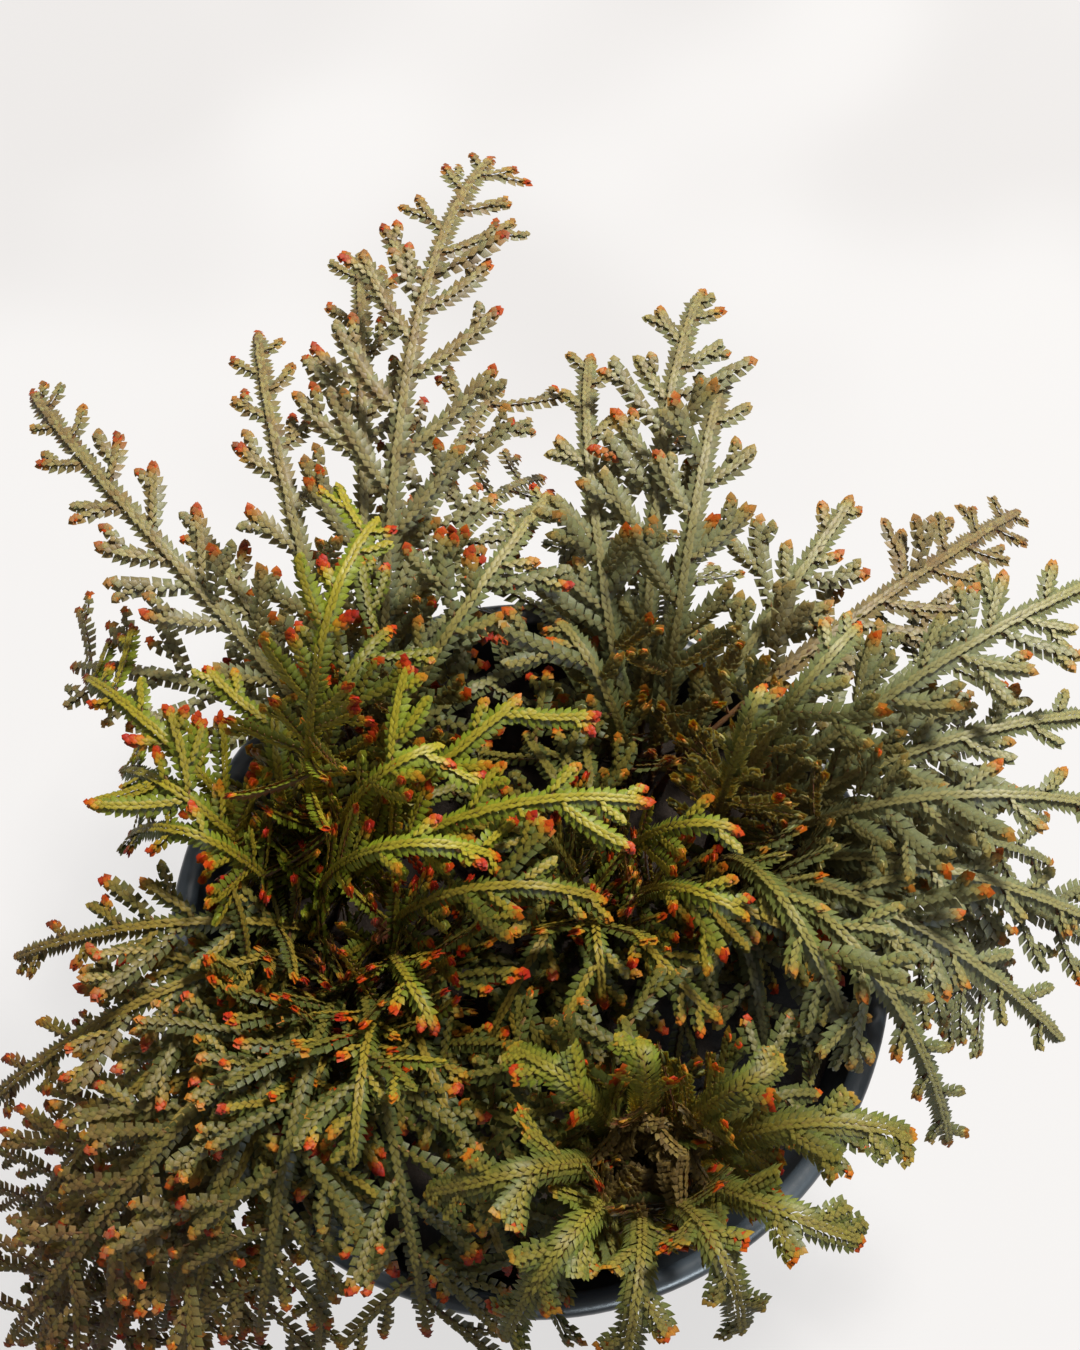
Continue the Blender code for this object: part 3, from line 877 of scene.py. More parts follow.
    def add_twigs(self, frond: Frond) -> None:
        """Grows leafy twigs inside the clump, from the leafy part of a frond down its stalk.

        Args:
            frond: The frond.
        """
        tuft = TUFTS[frond.shoot.tuft]
        side = either_side(self.chance)
        at = self.last_twig(frond)
        while at > frond.bare * self.twig_from:
            length = self.chance.uniform(*self.twig_lengths) * tuft.twig_scale
            angle = self.chance.uniform(*self.twig_angles)
            if frond.sides and at < frond.bare * self.spread_to:
                angle += tuft.spread
            for trim, tilt in product(self.twig_trims, self.twig_tilts):
                twig = self.clump.side_axis(frond.main, int(at), side, length * trim, angle, tilt).faced_up()
                if self.settle(frond, twig, [*frond.sides, *frond.twigs], frond.twigs):
                    break
            side = -side
            at -= self.twig_pitch * self.chance.uniform(*self.twig_steps)

    def close_crown(self, frond: Frond, crown: Crown) -> None:
        """Adds short twigs that lean inwards from the top of a stalk over the middle of its tuft.

        Args:
            frond: The frond.
            crown: How they look.
        """
        for turn, share in enumerate(self.crown_places):
            side = either_side(self.chance)
            at = int(frond.bare * share * crown.top)
            length = crown.longest * self.chance.uniform(*self.crown_lengths)
            angle = crown.narrow + self.crown_widening * (turn % 2)
            twig = self.clump.side_axis(frond.main, at, side, length, angle, crown.tilt)
            twig.woody = crown.woody
            twig.width *= self.crown_width
            frond.inner.append(twig.faced_up())

    def lower_frond(self, number: int, plan: LowPlan) -> Frond | None:
        """Grows a frond under others and a little to their side.

        Args:
            number: The number that marks its room.
            plan: Its plan.

        Returns:
            The lower frond without its twigs, or nothing where there is no room.
        """
        root = plan.root + np.array([*self.chance.uniform(-self.root_shift, self.root_shift, 2), 0.0])
        reach = plan.share * self.chance.uniform(*self.lower_reaches)
        x, y, z = plan.shoot.tip
        for swing, drop in product(self.lower_swings, plan.drops):
            tip = (x * reach, y * reach, z + drop * self.clump.tip_lift)
            shoot = replace(plan.shoot, tip=tip, width=self.fine_width)
            main = self.clump.main_axis(shoot, root, drop, swing)
            bare = int(len(main.line) * (shoot.bare + self.lower_bare))
            free = int(len(main.line) * (shoot.bare + plan.crowded))
            if self.room.holds(self.clump.body_points(main, free), number):
                self.room.fill(main.line[bare:], number)
                return Frond(number, f"lower_frond_{number}", shoot, main, bare)
        return None

    def young_axis(self) -> tuple[Shoot, Branch]:
        """Draws the plan and the axis of a young shoot between the tufts.

        Returns:
            The plan, whose tip is given above the pot's base, and the axis.
        """
        radius = self.young_spread * math.sqrt(self.chance.uniform(0, 1))
        turn = self.chance.uniform(0, math.tau)
        root = np.array([radius * math.cos(turn), radius * math.sin(turn), POT.soil_height(radius)])
        way = turn + self.chance.uniform(-self.young_turn, self.young_turn)
        reach = self.chance.uniform(*self.young_reaches)
        height = self.chance.uniform(*self.young_heights)
        flat = np.array([math.cos(way), math.sin(way), 0.0]) * reach
        rise = np.array([0.0, 0.0, height])
        tip = root + flat + rise * self.young_tip
        first, second = (root + rise * up + flat * out for up, out in (self.young_first, self.young_second))
        nearest = min(TUFTS, key=lambda name: math.dist((TUFTS[name].x, TUFTS[name].y), root[:2]))
        side_reach = max(reach * self.young_side_share, self.young_side_least)
        shoot = Shoot(nearest, tuple(tip), height, 0.0, self.young_bare, side_reach, self.fine_width)
        return shoot, self.clump.arch((root, first, second, tip), shoot.width)

    def young_shoot(self, number: int) -> Frond | None:
        """Grows a young shoot that leaves the soil between the tufts and stays under the fronds.

        Args:
            number: The number that marks its room.

        Returns:
            The shoot with its side branches, or nothing where there is no room.
        """
        shoot, main = self.young_axis()
        if not self.room.holds(main.line[self.clump.stalk_start :], number):
            return None
        self.room.fill(main.line, number)
        bare = int(len(main.line) * shoot.bare)
        frond = Frond(number, f"young_shoot_{number}", shoot, main, bare)
        side = either_side(self.chance)
        longest, fall = self.young_side_fall
        at = bare
        while at < len(main.line) - self.young_side_end:
            share = longest - fall * at / len(main.line)
            wanted = shoot.reach * share * self.chance.uniform(*self.young_side_lengths)
            angle = self.chance.uniform(*self.young_side_angles)
            for trim in self.trims:
                length = max(wanted * trim, self.young_side_shortest)
                tilt = self.chance.uniform(*self.young_side_tilts)
                branch = self.clump.side_axis(main, int(at), side, length, angle, tilt)
                if self.settle(frond, branch, frond.sides, frond.sides):
                    break
            side = -side
            at += self.twig_pitch * self.chance.uniform(*self.young_side_steps)
        return frond

    def trailing(self, shoot: Shoot) -> bool:
        """Whether a frond trails over the rim at the near left."""
        return shoot.tuft == "near" and shoot.tip[1] < self.trailing_from

    def low_plans(self, fronds: list[Frond]) -> list[LowPlan]:
        """Plans the undergrowth and the lower fronds, with more of these where the clump hangs over the rim.

        Args:
            fronds: The clump's fronds.

        Returns:
            The plans, in the order in which they find room.
        """
        trailing = [frond for frond in fronds if self.trailing(frond.shoot)]
        over_rim = []
        hanging = []
        for frond in fronds:
            x, y, z = frond.shoot.tip
            if self.over_rim_from < x < 0 and y < self.trailing_from:
                over_rim.append(frond)
            if frond.shoot.tuft == "right" and z < self.hanging_under:
                hanging.append(frond)
        plans = []
        for frond in fronds + trailing * 2 + over_rim + hanging:
            shoot = frond.shoot
            share = self.trailing_reach if self.trailing(shoot) else TUFTS[shoot.tuft].low_reach
            open_side = shoot.tip[0] < self.open_rim and shoot.tip[1] > self.open_above
            if not (open_side and shoot.tuft in self.open_tufts):
                plans.append(LowPlan(shoot, frond.main.line[0], share, self.lower_drops, self.lower_bare))
        for shoot in UNDERGROWTH:
            tuft = TUFTS[shoot.tuft]
            root = np.array([tuft.x, tuft.y, POT.soil_height(math.hypot(tuft.x, tuft.y))])
            plans.append(LowPlan(shoot, root, 1.0, self.own_drops, self.own_crowded))
        return plans

    def dress(self, fronds: list[Frond]) -> list[Frond]:
        """Adds lobes and inner twigs first, then lower fronds, twigs where room is left, and young shoots.

        Args:
            fronds: The clump's fronds.

        Returns:
            The lower fronds and the young shoots.
        """
        for frond in fronds:
            for axis in [frond.main, *frond.sides]:
                self.room.fill(self.clump.body_points(axis, 1), frond.number)
        for frond in fronds:
            self.add_lobes(frond, [*frond.sides, frond.main])
        for frond in fronds:
            crown = TUFTS[frond.shoot.tuft].crown
            if crown:
                self.close_crown(frond, crown)
        low = []
        for plan in self.low_plans(fronds):
            found = self.lower_frond(len(fronds) + len(low) + 1, plan)
            if found:
                low.append(found)
        for frond in fronds + low:
            self.add_twigs(frond)
            self.add_lobes(frond, frond.twigs)
        wanted = len(low) + self.young
        for _ in range(self.tries):
            shoot = self.young_shoot(len(fronds) + len(low) + 1)
            if shoot:
                low.append(shoot)
            if len(low) == wanted:
                break
        return low


@dataclass
class LeafForm:
    """A closed leaf one long and one wide, made from a flattened ball.

    It has its corners, its triangles and which of them lie underneath, which corners are on its margin, and
    how light each corner is: a painted shade, darker along the margin and most towards the base, where the
    leaf before it overlaps.
    """

    places: np.ndarray
    faces: np.ndarray
    under: np.ndarray
    edge: np.ndarray
    shade: np.ndarray

    @classmethod
    def leaf(cls, around: int, ridge: float, shoulder: float, taper: float) -> "LeafForm":
        """Makes a leaf form from a ball of two rings, so that each face has one ridge point.

        Args:
            around: How many corners its margin has.
            ridge: Where its ridge point lies, as a share of its length.
            shoulder: Where its margin starts to close towards the tip, as a share of its length.
            taper: How wide it is there, as a share of its greatest width.

        Returns:
            The form, with its base at the origin and its tip at +Y.
        """
        mesh = bmesh.new()
        bmesh.ops.create_uvsphere(mesh, u_segments=around, v_segments=2, radius=1.0)
        form = cls.read(mesh)
        front_from, front_to = 0.6, 0.95
        margin_dark, base_dark = 0.15, 0.6
        along = (form.places[:, 1] + 1) / 2
        margin = form.edge > 0.5
        front = margin & (along > front_from) & (along < front_to)
        form.places[:, 1] = np.where(margin, np.where(front, shoulder, along), ridge)
        form.places[:, 0] *= np.where(front, taper, 1.0)
        to_tip = 1.0 - np.clip(form.places[:, 1], 0.0, 1.0)
        # painted shade: darker along the margin and most towards the base, where the leaf before overlaps it
        form.shade = 1.0 - form.edge * (margin_dark + base_dark * to_tip**1.5)
        return form

    @classmethod
    def crumb(cls) -> "LeafForm":
        """Makes a rough grain.

        Returns:
            The form.
        """
        mesh = bmesh.new()
        bmesh.ops.create_icosphere(mesh, subdivisions=1, radius=1.0)
        return cls.read(mesh)

    @classmethod
    def read(cls, mesh: bmesh.types.BMesh) -> "LeafForm":
        """Takes a form from a closed mesh of triangles, half a unit to each side.

        Args:
            mesh: The mesh, which is freed.

        Returns:
            The form.
        """
        places, faces = read_triangles(mesh)
        under = places[faces, 2].min(axis=1) < -0.5
        edge = 1.0 - np.abs(places[:, 2])
        places[:, 0] /= 2 * np.abs(places[:, 0]).max()
        places[:, 2] /= 2 * np.abs(places[:, 2]).max()
        return cls(places, faces, under.astype(float), edge, np.ones(len(places)))


@dataclass
class Leaves:
    """Many leaves of one form: where each starts, its frame, its sizes, and what its colour depends on.

    A size or a value may be one number for all. flare is how much of the tip's colour a leaf's base lacks.
    """

    base: np.ndarray
    ahead: np.ndarray
    up: np.ndarray
    length: Any
    width: Any
    thickness: float
    curl: float = 0.0
    flare: float = 0.0
    tipness: Any = 0.0
    braid: float = 0.0
    vigour_and_light: Any = 0.0
    cool: Any = 0.0
    woody: Any = 0.0


@dataclass
class Stems:
    """A frond's stems: round tubes that thin towards their tips, a little under its leaves."""

    rounding: int = 1
    drop: float = 0.25
    routes: list = field(default_factory=list)

    def add(self, line: np.ndarray, radii: tuple, knee: float = 0.5) -> None:
        """Adds a stem along a line, with its radii at its start, at a share of its length and at its end."""
        marks = np.unique(np.append(np.arange(0, len(line), 2), len(line) - 1))
        self.routes.append((line[marks], np.interp(marks / marks[-1], (0.0, knee, 1.0), radii)))

    def add_under(self, branch: Branch, radii: tuple) -> None:
        """Adds the stem of a side axis."""
        self.add(branch.line - branch.up * self.drop, radii)

    def tubes(self) -> tuple[np.ndarray, np.ndarray]:
        """Makes the tubes.

        Returns:
            Their corners in millimetres, and their triangles.
        """
        curve = bpy.data.curves.new("stems", "CURVE")
        curve.dimensions = "3D"
        curve.bevel_depth = 1.0
        curve.bevel_resolution = self.rounding
        curve.use_fill_caps = True
        for route, radii in self.routes:
            spline = curve.splines.new("POLY")
            spline.points.add(len(route) - 1)
            points = np.column_stack([route, np.ones(len(route))])
            spline.points.foreach_set("co", points.astype(np.float32).ravel())
            spline.points.foreach_set("radius", radii.astype(np.float32))
        holder = linked("stems", curve)
        graph = bpy.context.evaluated_depsgraph_get()
        tube = bpy.data.meshes.new_from_object(holder.evaluated_get(graph))
        mesh = bmesh.new()
        mesh.from_mesh(tube)
        bmesh.ops.remove_doubles(mesh, verts=mesh.verts[:], dist=0.001)
        bmesh.ops.triangulate(mesh, faces=mesh.faces[:])
        bpy.data.objects.remove(holder)
        bpy.data.curves.remove(curve)
        bpy.data.meshes.remove(tube)
        return read_triangles(mesh)


@dataclass
class Foliage:
    """Collects leaves and stems as arrays and makes one mesh of them."""

    chance: np.random.Generator
    straw_over: float = 45.0
    crease: float = 60.0
    corners: int = 0
    batches: list = field(default_factory=list)

    def add(self, places: np.ndarray, faces: np.ndarray, *looks: np.ndarray) -> None:
        """Adds triangles, with the growth, stand and shade of their corners and the under of their faces."""
        self.batches.append((places, faces + self.corners, *looks))
        self.corners += len(places)

    def add_leaves(self, form: LeafForm, leaves: Leaves) -> None:
        """Adds a copy of a form for each leaf, turned and sized as the leaf is.

        Args:
            form: The form.
            leaves: The leaves.
        """
        count = len(leaves.base)
        if count == 0:
            return
        right = unit(np.cross(leaves.ahead, leaves.up))
        up = np.cross(right, leaves.ahead)
        x, y, z = form.places.T
        length = column(leaves.length, count)
        places = (
            leaves.base[:, None, :]
            + right[:, None, :] * (x * column(leaves.width, count))[:, :, None]
            + leaves.ahead[:, None, :] * (y * length)[:, :, None]
            + up[:, None, :] * (z * leaves.thickness - leaves.curl * y**2 * length)[:, :, None]
        )
        whole = np.ones((count, len(x)))
        chance = self.chance.uniform(0.0, 1.0, (count, 1))
        tipness = column(leaves.tipness, count) * (1 - leaves.flare * (1 - y))
        growth = np.stack([tipness, chance * whole, leaves.braid * whole], axis=2)
        stand = np.hstack([column(value, count) for value in (leaves.vigour_and_light, leaves.cool, leaves.woody)])
        faces = form.faces[None, :, :] + (np.arange(count) * len(x))[:, None, None]
        self.add(
            places.reshape(-1, 3), faces.reshape(-1, 3), growth.reshape(-1, 3),
            np.repeat(stand, len(x), axis=0), np.tile(form.shade, count), np.tile(form.under, count),
        )

    def add_stems(self, stems: Stems, vigour_and_light: float) -> None:
        """Adds the tubes of a frond's stems, which pale from bark to straw with height.

        Args:
            stems: The stems.
            vigour_and_light: How bright the frond's green is.
        """
        if not stems.routes:
            return
        places, faces = stems.tubes()
        count = len(places)
        straw = np.clip((places[:, 2] - POT.height) / self.straw_over, 0.0, 1.0)
        growth = np.column_stack([np.zeros(count), straw, np.zeros(count)])
        stand = np.tile([vigour_and_light, 0.0, 1.0], (count, 1))
        self.add(places, faces, growth, stand, np.ones(count), np.zeros(len(faces)))

    def mesh(self, name: str) -> bpy.types.Mesh:
        """Makes the mesh, in metres, with its attributes.

        Args:
            name: The mesh's name.

        Returns:
            The mesh.
        """
        places, faces, growth, stand, shade, under = (np.concatenate(rows) for rows in zip(*self.batches))
        made = bpy.data.meshes.new(name)
        made.from_pydata((places * MM).tolist(), [], faces.tolist())
        for title, rows in (("growth", growth), ("stand", stand)):
            vectors = made.attributes.new(title, "FLOAT_VECTOR", "POINT").data
            vectors.foreach_set("vector", rows.astype(np.float32).ravel())
        for title, domain, rows in (("shade", "POINT", shade), ("under", "FACE", under)):
            made.attributes.new(title, "FLOAT", domain).data.foreach_set("value", rows.astype(np.float32))
        made.shade_smooth()
        made.set_sharp_from_angle(angle=math.radians(self.crease))
        return made


@dataclass(frozen=True)
class Rank:
    """A rank of leaves on each side of an axis.

    angles and rises are in degrees, first along the axis and then where it closes at its tip. offset, lift
    and length are shares of the axis's width, and width is a share of the distance between leaves. roll turns
    a leaf about its own length, and braid is how far it has the colour of the braid on top.
    """

    offset: float
    lift: float
    angles: tuple
    rises: tuple
    length: float
    width: float
    roll: float = 0.0
    curl: float = 0.05
    braid: float = 0.0


THICK_RANKS = (
    Rank(0.17, 0.0, (52.0, 30.0), (-14.0, -2.0), 0.36, 0.95, roll=14.0, curl=0.12),
    Rank(0.09, 0.05, (34.0, 20.0), (-2.0, 4.0), 0.33, 0.9, roll=10.0, curl=0.1, braid=0.25),
    Rank(0.025, 0.1, (12.0, 6.0), (6.0, 6.0), 0.3, 0.75, braid=0.55),
)


@dataclass(frozen=True)
class Growth:
    """A kind of side growth: its stem's radii, where its leaves start, and how far its coloured tip reaches.

    The reach is a range that is drawn from, in shares of the usual reach.
    """

    radii: tuple
    start: float
    reaches: tuple


SIDE_BRANCH = Growth((0.28, 0.18, 0.12), 1.0, (0.8, 1.6))
TWIG = Growth((0.26, 0.18, 0.12), 1.0, (0.6, 1.2))
LOBE = Growth((0.2, 0.15, 0.1), 0.8, (0.6, 1.1))


@dataclass
class Dress:
    """Dresses a frond's axes with side leaves, small leaves pressed forward on top, buds and stems.

    Names that end in from, to and over are distances or heights at which a colour starts, ends, or how far it
    takes to change. Shades are painted shade taken off an axis's vigour, darker where other leaves would shade
    it. The other numbers are shares of a width, a pitch or a length.
    """

    chance: np.random.Generator
    fullness: float = 1.1
    blade: float = 0.34
    closed_blade: float = 0.22
    closed_from: float = 0.4
    flushes: tuple = (0.2, 0.55, 0.85, 1.15)
    flush_odds: tuple = (0.15, 0.3, 0.35, 0.2)
    dry_from: float = 0.5
    dry_flush: float = 0.1
    tip_reach: float = 3.5
    thick_reach: float = 0.48
    main_reach: float = 1.4
    inner_reach: float = 0.8
    tip_power: float = 1.25
    closing: float = 1.05
    thick_closing: float = 0.7
    low_pitch: float = 1.2
    end_gap: float = 0.2
    opening: float = 3.0
    first_length: float = 0.7
    closed_shorter: float = 0.4
    closed_wider: float = 0.25
    leaf_flare: float = 0.2
    leaf_lengths: tuple = (0.92, 1.08)
    unevenness: float = 3.0
    stalk_brown: float = 0.9
    cool_from: float = 22.0
    cool_over: float = 40.0
    least_cool: float = 0.1
    rust_from: float = 44.0
    rust_over: float = 34.0
    rust_range: tuple = (0.3, 1.7)
    deep_from: float = 12.0
    deep_over: float = 24.0
    deep_shade: float = 0.3
    inside: float = 64.0
    outer_shade: float = 0.45
    outer_shade_over: float = 90.0
    uneven_vigour: float = 0.08
    inner_to: float = 50.0
    inner_under: float = 26.0
    low_shade: float = 0.35
    twig_shade: float = 0.15
    full_twig_shade: float = 0.05
    dry_shade: float = 0.3
    dry_under: float = -15.0
    dry_woody: float = 0.3
    stalk_radii: tuple = (0.5, 0.3, 0.12)
    buried: float = 3.0
    stalk_leaf_from: float = 3.0
    stalk_leaf_gap: float = 1.2
    inner_start: float = 0.5
    ruby_odds: float = 0.025
    rubies: tuple = (0.35, 0.8)
    ruby_width: float = 0.75

    def __post_init__(self) -> None:
        """Makes the leaf forms."""
        self.side_form = LeafForm.leaf(6, 0.4, 0.66, 0.85)
        self.closed_form = LeafForm.leaf(6, 0.4, 0.6, 0.68)
        self.low_form = LeafForm.leaf(4, 0.42, 0.5, 1.0)
        self.top_form = LeafForm.leaf(4, 0.4, 0.5, 1.0)
        self.bud_form = LeafForm.crumb()

    def turned(self, frame: tuple, angle: np.ndarray, rise: np.ndarray) -> tuple:
        """Turns headings sideways by an angle and up by a rise, in degrees.

        Args:
            frame: The ways ahead, across and up.
            angle: The angles.
            rise: The rises.

        Returns:
            The new headings and the directions up from their faces.
        """
        ahead, across, up = frame
        turn = np.radians(angle)[:, None]
        lift = np.radians(rise)[:, None]
        flat = ahead * np.cos(turn) + across * np.sin(turn)
        return flat * np.cos(lift) + up * np.sin(lift), up * np.cos(lift) - flat * np.sin(lift)

    def ranks(self, tuft: Tuft, main: bool, low: bool) -> tuple[Rank, ...]:
        """The ranks of an axis's leaves: side leaves, a braid on top, and in a thick tuft one between them.

        Args:
            tuft: The tuft.
            main: Whether the axis is a frond's main one.
            low: Whether it is down in the shade, with fewer and coarser leaves.

        Returns:
            The ranks.
        """
        if tuft.thick and not low:
            return THICK_RANKS
        closed = tuft.closed
        angle = (52.0 if low else 64.0) - 14.0 * closed
        shorter = (0.92 if main else 1.0) * (0.82 + 0.18 * closed)
        length = (0.53 + 0.12 * closed) * shorter * (1.08 if low else 1.0)
        width = 1.02 if low else 0.85 + 0.32 * closed
        braid = (1.0 - 0.45 * closed) * (0.4 if low else 1.0)
        return (
            Rank(0.03, 0.0, (angle, 13.0), (-12.0, -2.0), length, width, roll=15.0, curl=0.1),
            Rank(0.03, 0.1, (10.0, 4.0), (8.0, 6.0), 0.46, 0.68, braid=braid),
        )

    def tones(self, place: np.ndarray, brown: np.ndarray, tuft: Tuft, vigour_and_light: float) -> dict:
        """Shades leaves by where they are: cooler and browner far out, and darker deep inside the clump. The
        darkening deep inside is painted shade, and the cool far out is partly painted shade.

        Args:
            place: Where the leaves start.
            brown: How brown they are without rust.
            tuft: Their tuft.
            vigour_and_light: How bright their green is.

        Returns:
            Their vigour, cool and woody values.
        """
        outward = np.hypot(place[:, 0], place[:, 1])
        cool = tuft.cool * np.clip((outward - self.cool_from) / self.cool_over, self.least_cool, 1)
        rust = tuft.rust * np.clip((outward - self.rust_from) / self.rust_over, 0, 1)
        brown = np.clip(brown + rust * self.chance.uniform(*self.rust_range, len(place)), 0, 1)
        # painted shade: leaves low in the middle of the clump are darker
        deep = np.clip(1 - (place[:, 2] - POT.height - self.deep_from) / self.deep_over, 0, 1)
        shaded = vigour_and_light - self.deep_shade * deep * np.clip(2 - 2 * outward / self.inside, 0, 1)
        return {"vigour_and_light": shaded, "cool": cool, "woody": brown}

    def axis(
        self, foliage: Foliage, branch: Branch, start: float, tuft: Tuft, vigour_and_light: float, reach: float,
        form: LeafForm, brown_to: float = 0.0,
    ) -> None:
        """Dresses one axis.

        Args:
            foliage: What the leaves are added to.
            branch: The axis.
            start: The distance along it where its leaves start.
            tuft: The tuft that it belongs to.
            vigour_and_light: How bright its green is.
            reach: How far its coloured tip reaches back.
            form: The form of its side leaves.
            brown_to: The distance up to which the leaves of a main axis have some brown.
        """
        width = branch.width * self.fullness
        low = form is self.low_form
        pitch = tuft.pitch * (self.low_pitch if low else 1.0)
        end = len(branch.line) - 1
        flush = self.chance.choice(self.flushes, p=self.flush_odds) * tuft.flush
        if tuft.thick:
            reach *= self.thick_reach
        if branch.woody > self.dry_from and branch.ruby == 0.0:
            flush = self.dry_flush
        closing = width * (self.thick_closing if tuft.thick else self.closing)
        blade = self.blade + (self.closed_blade - self.blade) * tuft.closed
        for side in Side:
            first = start + (pitch / 2 if side is Side.RIGHT else 0.0)
            marks = np.arange(first, end - pitch * self.end_gap, pitch)
            count = len(marks)
            if count == 0:
                continue
            place, ahead, across, up = branch.frames(marks)
            across = across * side.value
            to_tip = end - marks
            close = np.clip(1 - to_tip / closing, 0, 1)
            opened = np.clip((marks - start) / (pitch * self.opening), 0, 1)
            tipness = np.clip(1 - to_tip / reach, 0, 1) ** self.tip_power * flush + branch.ruby
            brown = np.clip(1 - marks / max(brown_to, 0.1), 0, 1) * self.stalk_brown + branch.woody
            tones = self.tones(place, brown, tuft, vigour_and_light)
            for rank in self.ranks(tuft, brown_to > 0, low):
                angle = rank.angles[0] + (rank.angles[1] - rank.angles[0]) * close
                rise = rank.rises[0] + (rank.rises[1] - rank.rises[0]) * close
                angle = angle + self.chance.normal(0, self.unevenness, count)
                rise = rise + self.chance.normal(0, self.unevenness, count)
                heading, face = self.turned((ahead, across, up), angle, rise)
                turn = math.radians(rank.roll) * side.value
                length = width * rank.length * (self.first_length + (1 - self.first_length) * opened)
                length = length * (1 - self.closed_shorter * close)
                leaves = Leaves(
                    place + across * width * rank.offset + up * width * rank.lift,
                    heading,
                    face * math.cos(turn) + np.cross(heading, face) * math.sin(turn),
                    length * self.chance.uniform(*self.leaf_lengths, count),
                    pitch * (rank.width + self.closed_wider * close),
                    blade, rank.curl, self.leaf_flare, tipness, rank.braid, **tones,
                )
                foliage.add_leaves(self.top_form if rank.lift else form, leaves)
        self.bud(foliage, branch, tuft, vigour_and_light, flush)

    def bud(self, foliage: Foliage, branch: Branch, tuft: Tuft, vigour_and_light: float, flush: float) -> None:
        """Closes an axis with a rounded bud and two young leaves that lean together over it.

        Args:
            foliage: What they are added to.
            branch: The axis.
            tuft: The tuft that it belongs to.
            vigour_and_light: How bright its green is.
            flush: How strongly its tip colours.
        """
        width = branch.width * self.fullness
        lean = -110.0
        for form, back, spots, lift, rise, long, wide, thick in (
            (self.bud_form, 0.22, (0.0,), 0.0, 0.0, 0.3, 0.36, 0.85),
            (self.low_form, 0.34, (-0.09, 0.09), 0.35, -6.0, 0.4, 0.3, self.blade),
        ):
            spot = np.array(spots)
            count = len(spots)
            place, ahead, across, up = branch.frames(np.full(count, len(branch.line) - 1.0 - width * back))
            heading, face = self.turned((ahead, across, up), spot * lean, np.full(count, rise))
            leaves = Leaves(
                place + up * lift + across * (spot * width)[:, None], heading, face, width * long,
                width * wide, thick, curl=0.1, flare=0.45, tipness=flush + branch.ruby, vigour_and_light=vigour_and_light,
                cool=tuft.cool, woody=branch.woody,
            )
            foliage.add_leaves(form, leaves)

    def stalk(self, foliage: Foliage, frond: Frond) -> None:
        """Adds the sparse brown leaves that lie against a bare stalk.

        Args:
            foliage: What they are added to.
            frond: The stalk's frond.
        """
        marks = np.arange(self.stalk_leaf_from, frond.bare, self.stalk_leaf_gap)
        count = len(marks)
        place, ahead, across, up = frond.main.frames(marks)
        around = self.chance.uniform(0, math.tau, count)[:, None]
        out = across * np.cos(around) + up * np.sin(around)
        leaves = Leaves(
            place + out * 0.3,
            unit(ahead + out * self.chance.uniform(0.15, 0.6, count)[:, None]),
            out,
            self.chance.uniform(1.0, 1.7, count), 0.55, self.blade, curl=0.1, vigour_and_light=0.2,
            woody=self.chance.uniform(0.35, 0.95, count),
        )
        foliage.add_leaves(self.top_form, leaves)

    def frond(self, foliage: Foliage, frond: Frond, low: bool) -> None:
        """Dresses a frond's axes and gives them their stems.

        Args:
            foliage: What the leaves and stems are added to.
            frond: The frond.
            low: Whether it is one of the lower fronds, in the shade of the others.
        """
        tuft = TUFTS[frond.shoot.tuft]
        main = frond.main
        outward = math.hypot(*frond.shoot.tip[:2])
        height = frond.shoot.tip[2]
        stems = Stems()
        finer = Stems(rounding=0)
        form = self.closed_form if tuft.closed > self.closed_from else self.side_form
        if low:
            form = self.low_form
        # painted shade: fronds whose tips reach further out are darker
        vigour_and_light = tuft.vigour_and_light - self.outer_shade * (outward / self.outer_shade_over)
        vigour_and_light += self.chance.uniform(-self.uneven_vigour, self.uneven_vigour)
        if frond.shoot.tuft == "back" and height < self.dry_under:
            for branch in frond.axes():
                branch.woody = self.dry_woody
        bright = vigour_and_light
        # painted shade: inner fronds that stay low are darker
        if outward < self.inner_to and height < self.inner_under:
            vigour_and_light -= tuft.inner_shade
        buried = main.line[0] - np.array([0.0, 0.0, self.buried])
        route = np.vstack([buried, main.line - main.up * stems.drop])
        stems.add(route, self.stalk_radii, frond.bare / len(main.line))
        self.stalk(foliage, frond)
        # painted shade: lower fronds under the others are darker
        if low:
            vigour_and_light -= self.low_shade
        for branch in frond.inner:
            finer.add_under(branch, SIDE_BRANCH.radii)
            shaded = bright - self.dry_shade * branch.woody
            reach = self.tip_reach * self.inner_reach
            self.axis(foliage, branch, self.inner_start, tuft, shaded, reach, form)
        start = frond.bare * tuft.leafy_from
        brown_to = frond.bare * tuft.brown_to
        self.axis(foliage, main, start, tuft, vigour_and_light, self.tip_reach * self.main_reach, form, brown_to)
        twig_form = form if tuft.full_twigs else self.low_form
        # painted shade: twigs inside the clump are darker
        twig_vigour_and_light = vigour_and_light - (self.full_twig_shade if tuft.full_twigs else self.twig_shade)
        for growth, branches, shaded, leaf in (
            (SIDE_BRANCH, frond.sides, vigour_and_light, form),
            (TWIG, frond.twigs, twig_vigour_and_light, twig_form),
            (LOBE, frond.lobes, vigour_and_light, form),
        ):
            for branch in branches:
                if growth is LOBE and self.chance.uniform() < self.ruby_odds:
                    branch.ruby = self.chance.uniform(*self.rubies)
                    branch.width *= self.ruby_width
                finer.add_under(branch, growth.radii)
                reach = self.tip_reach * self.chance.uniform(*growth.reaches)
                self.axis(foliage, branch, growth.start, tuft, shaded, reach, leaf)
        foliage.add_stems(stems, vigour_and_light)
        foliage.add_stems(finer, vigour_and_light)


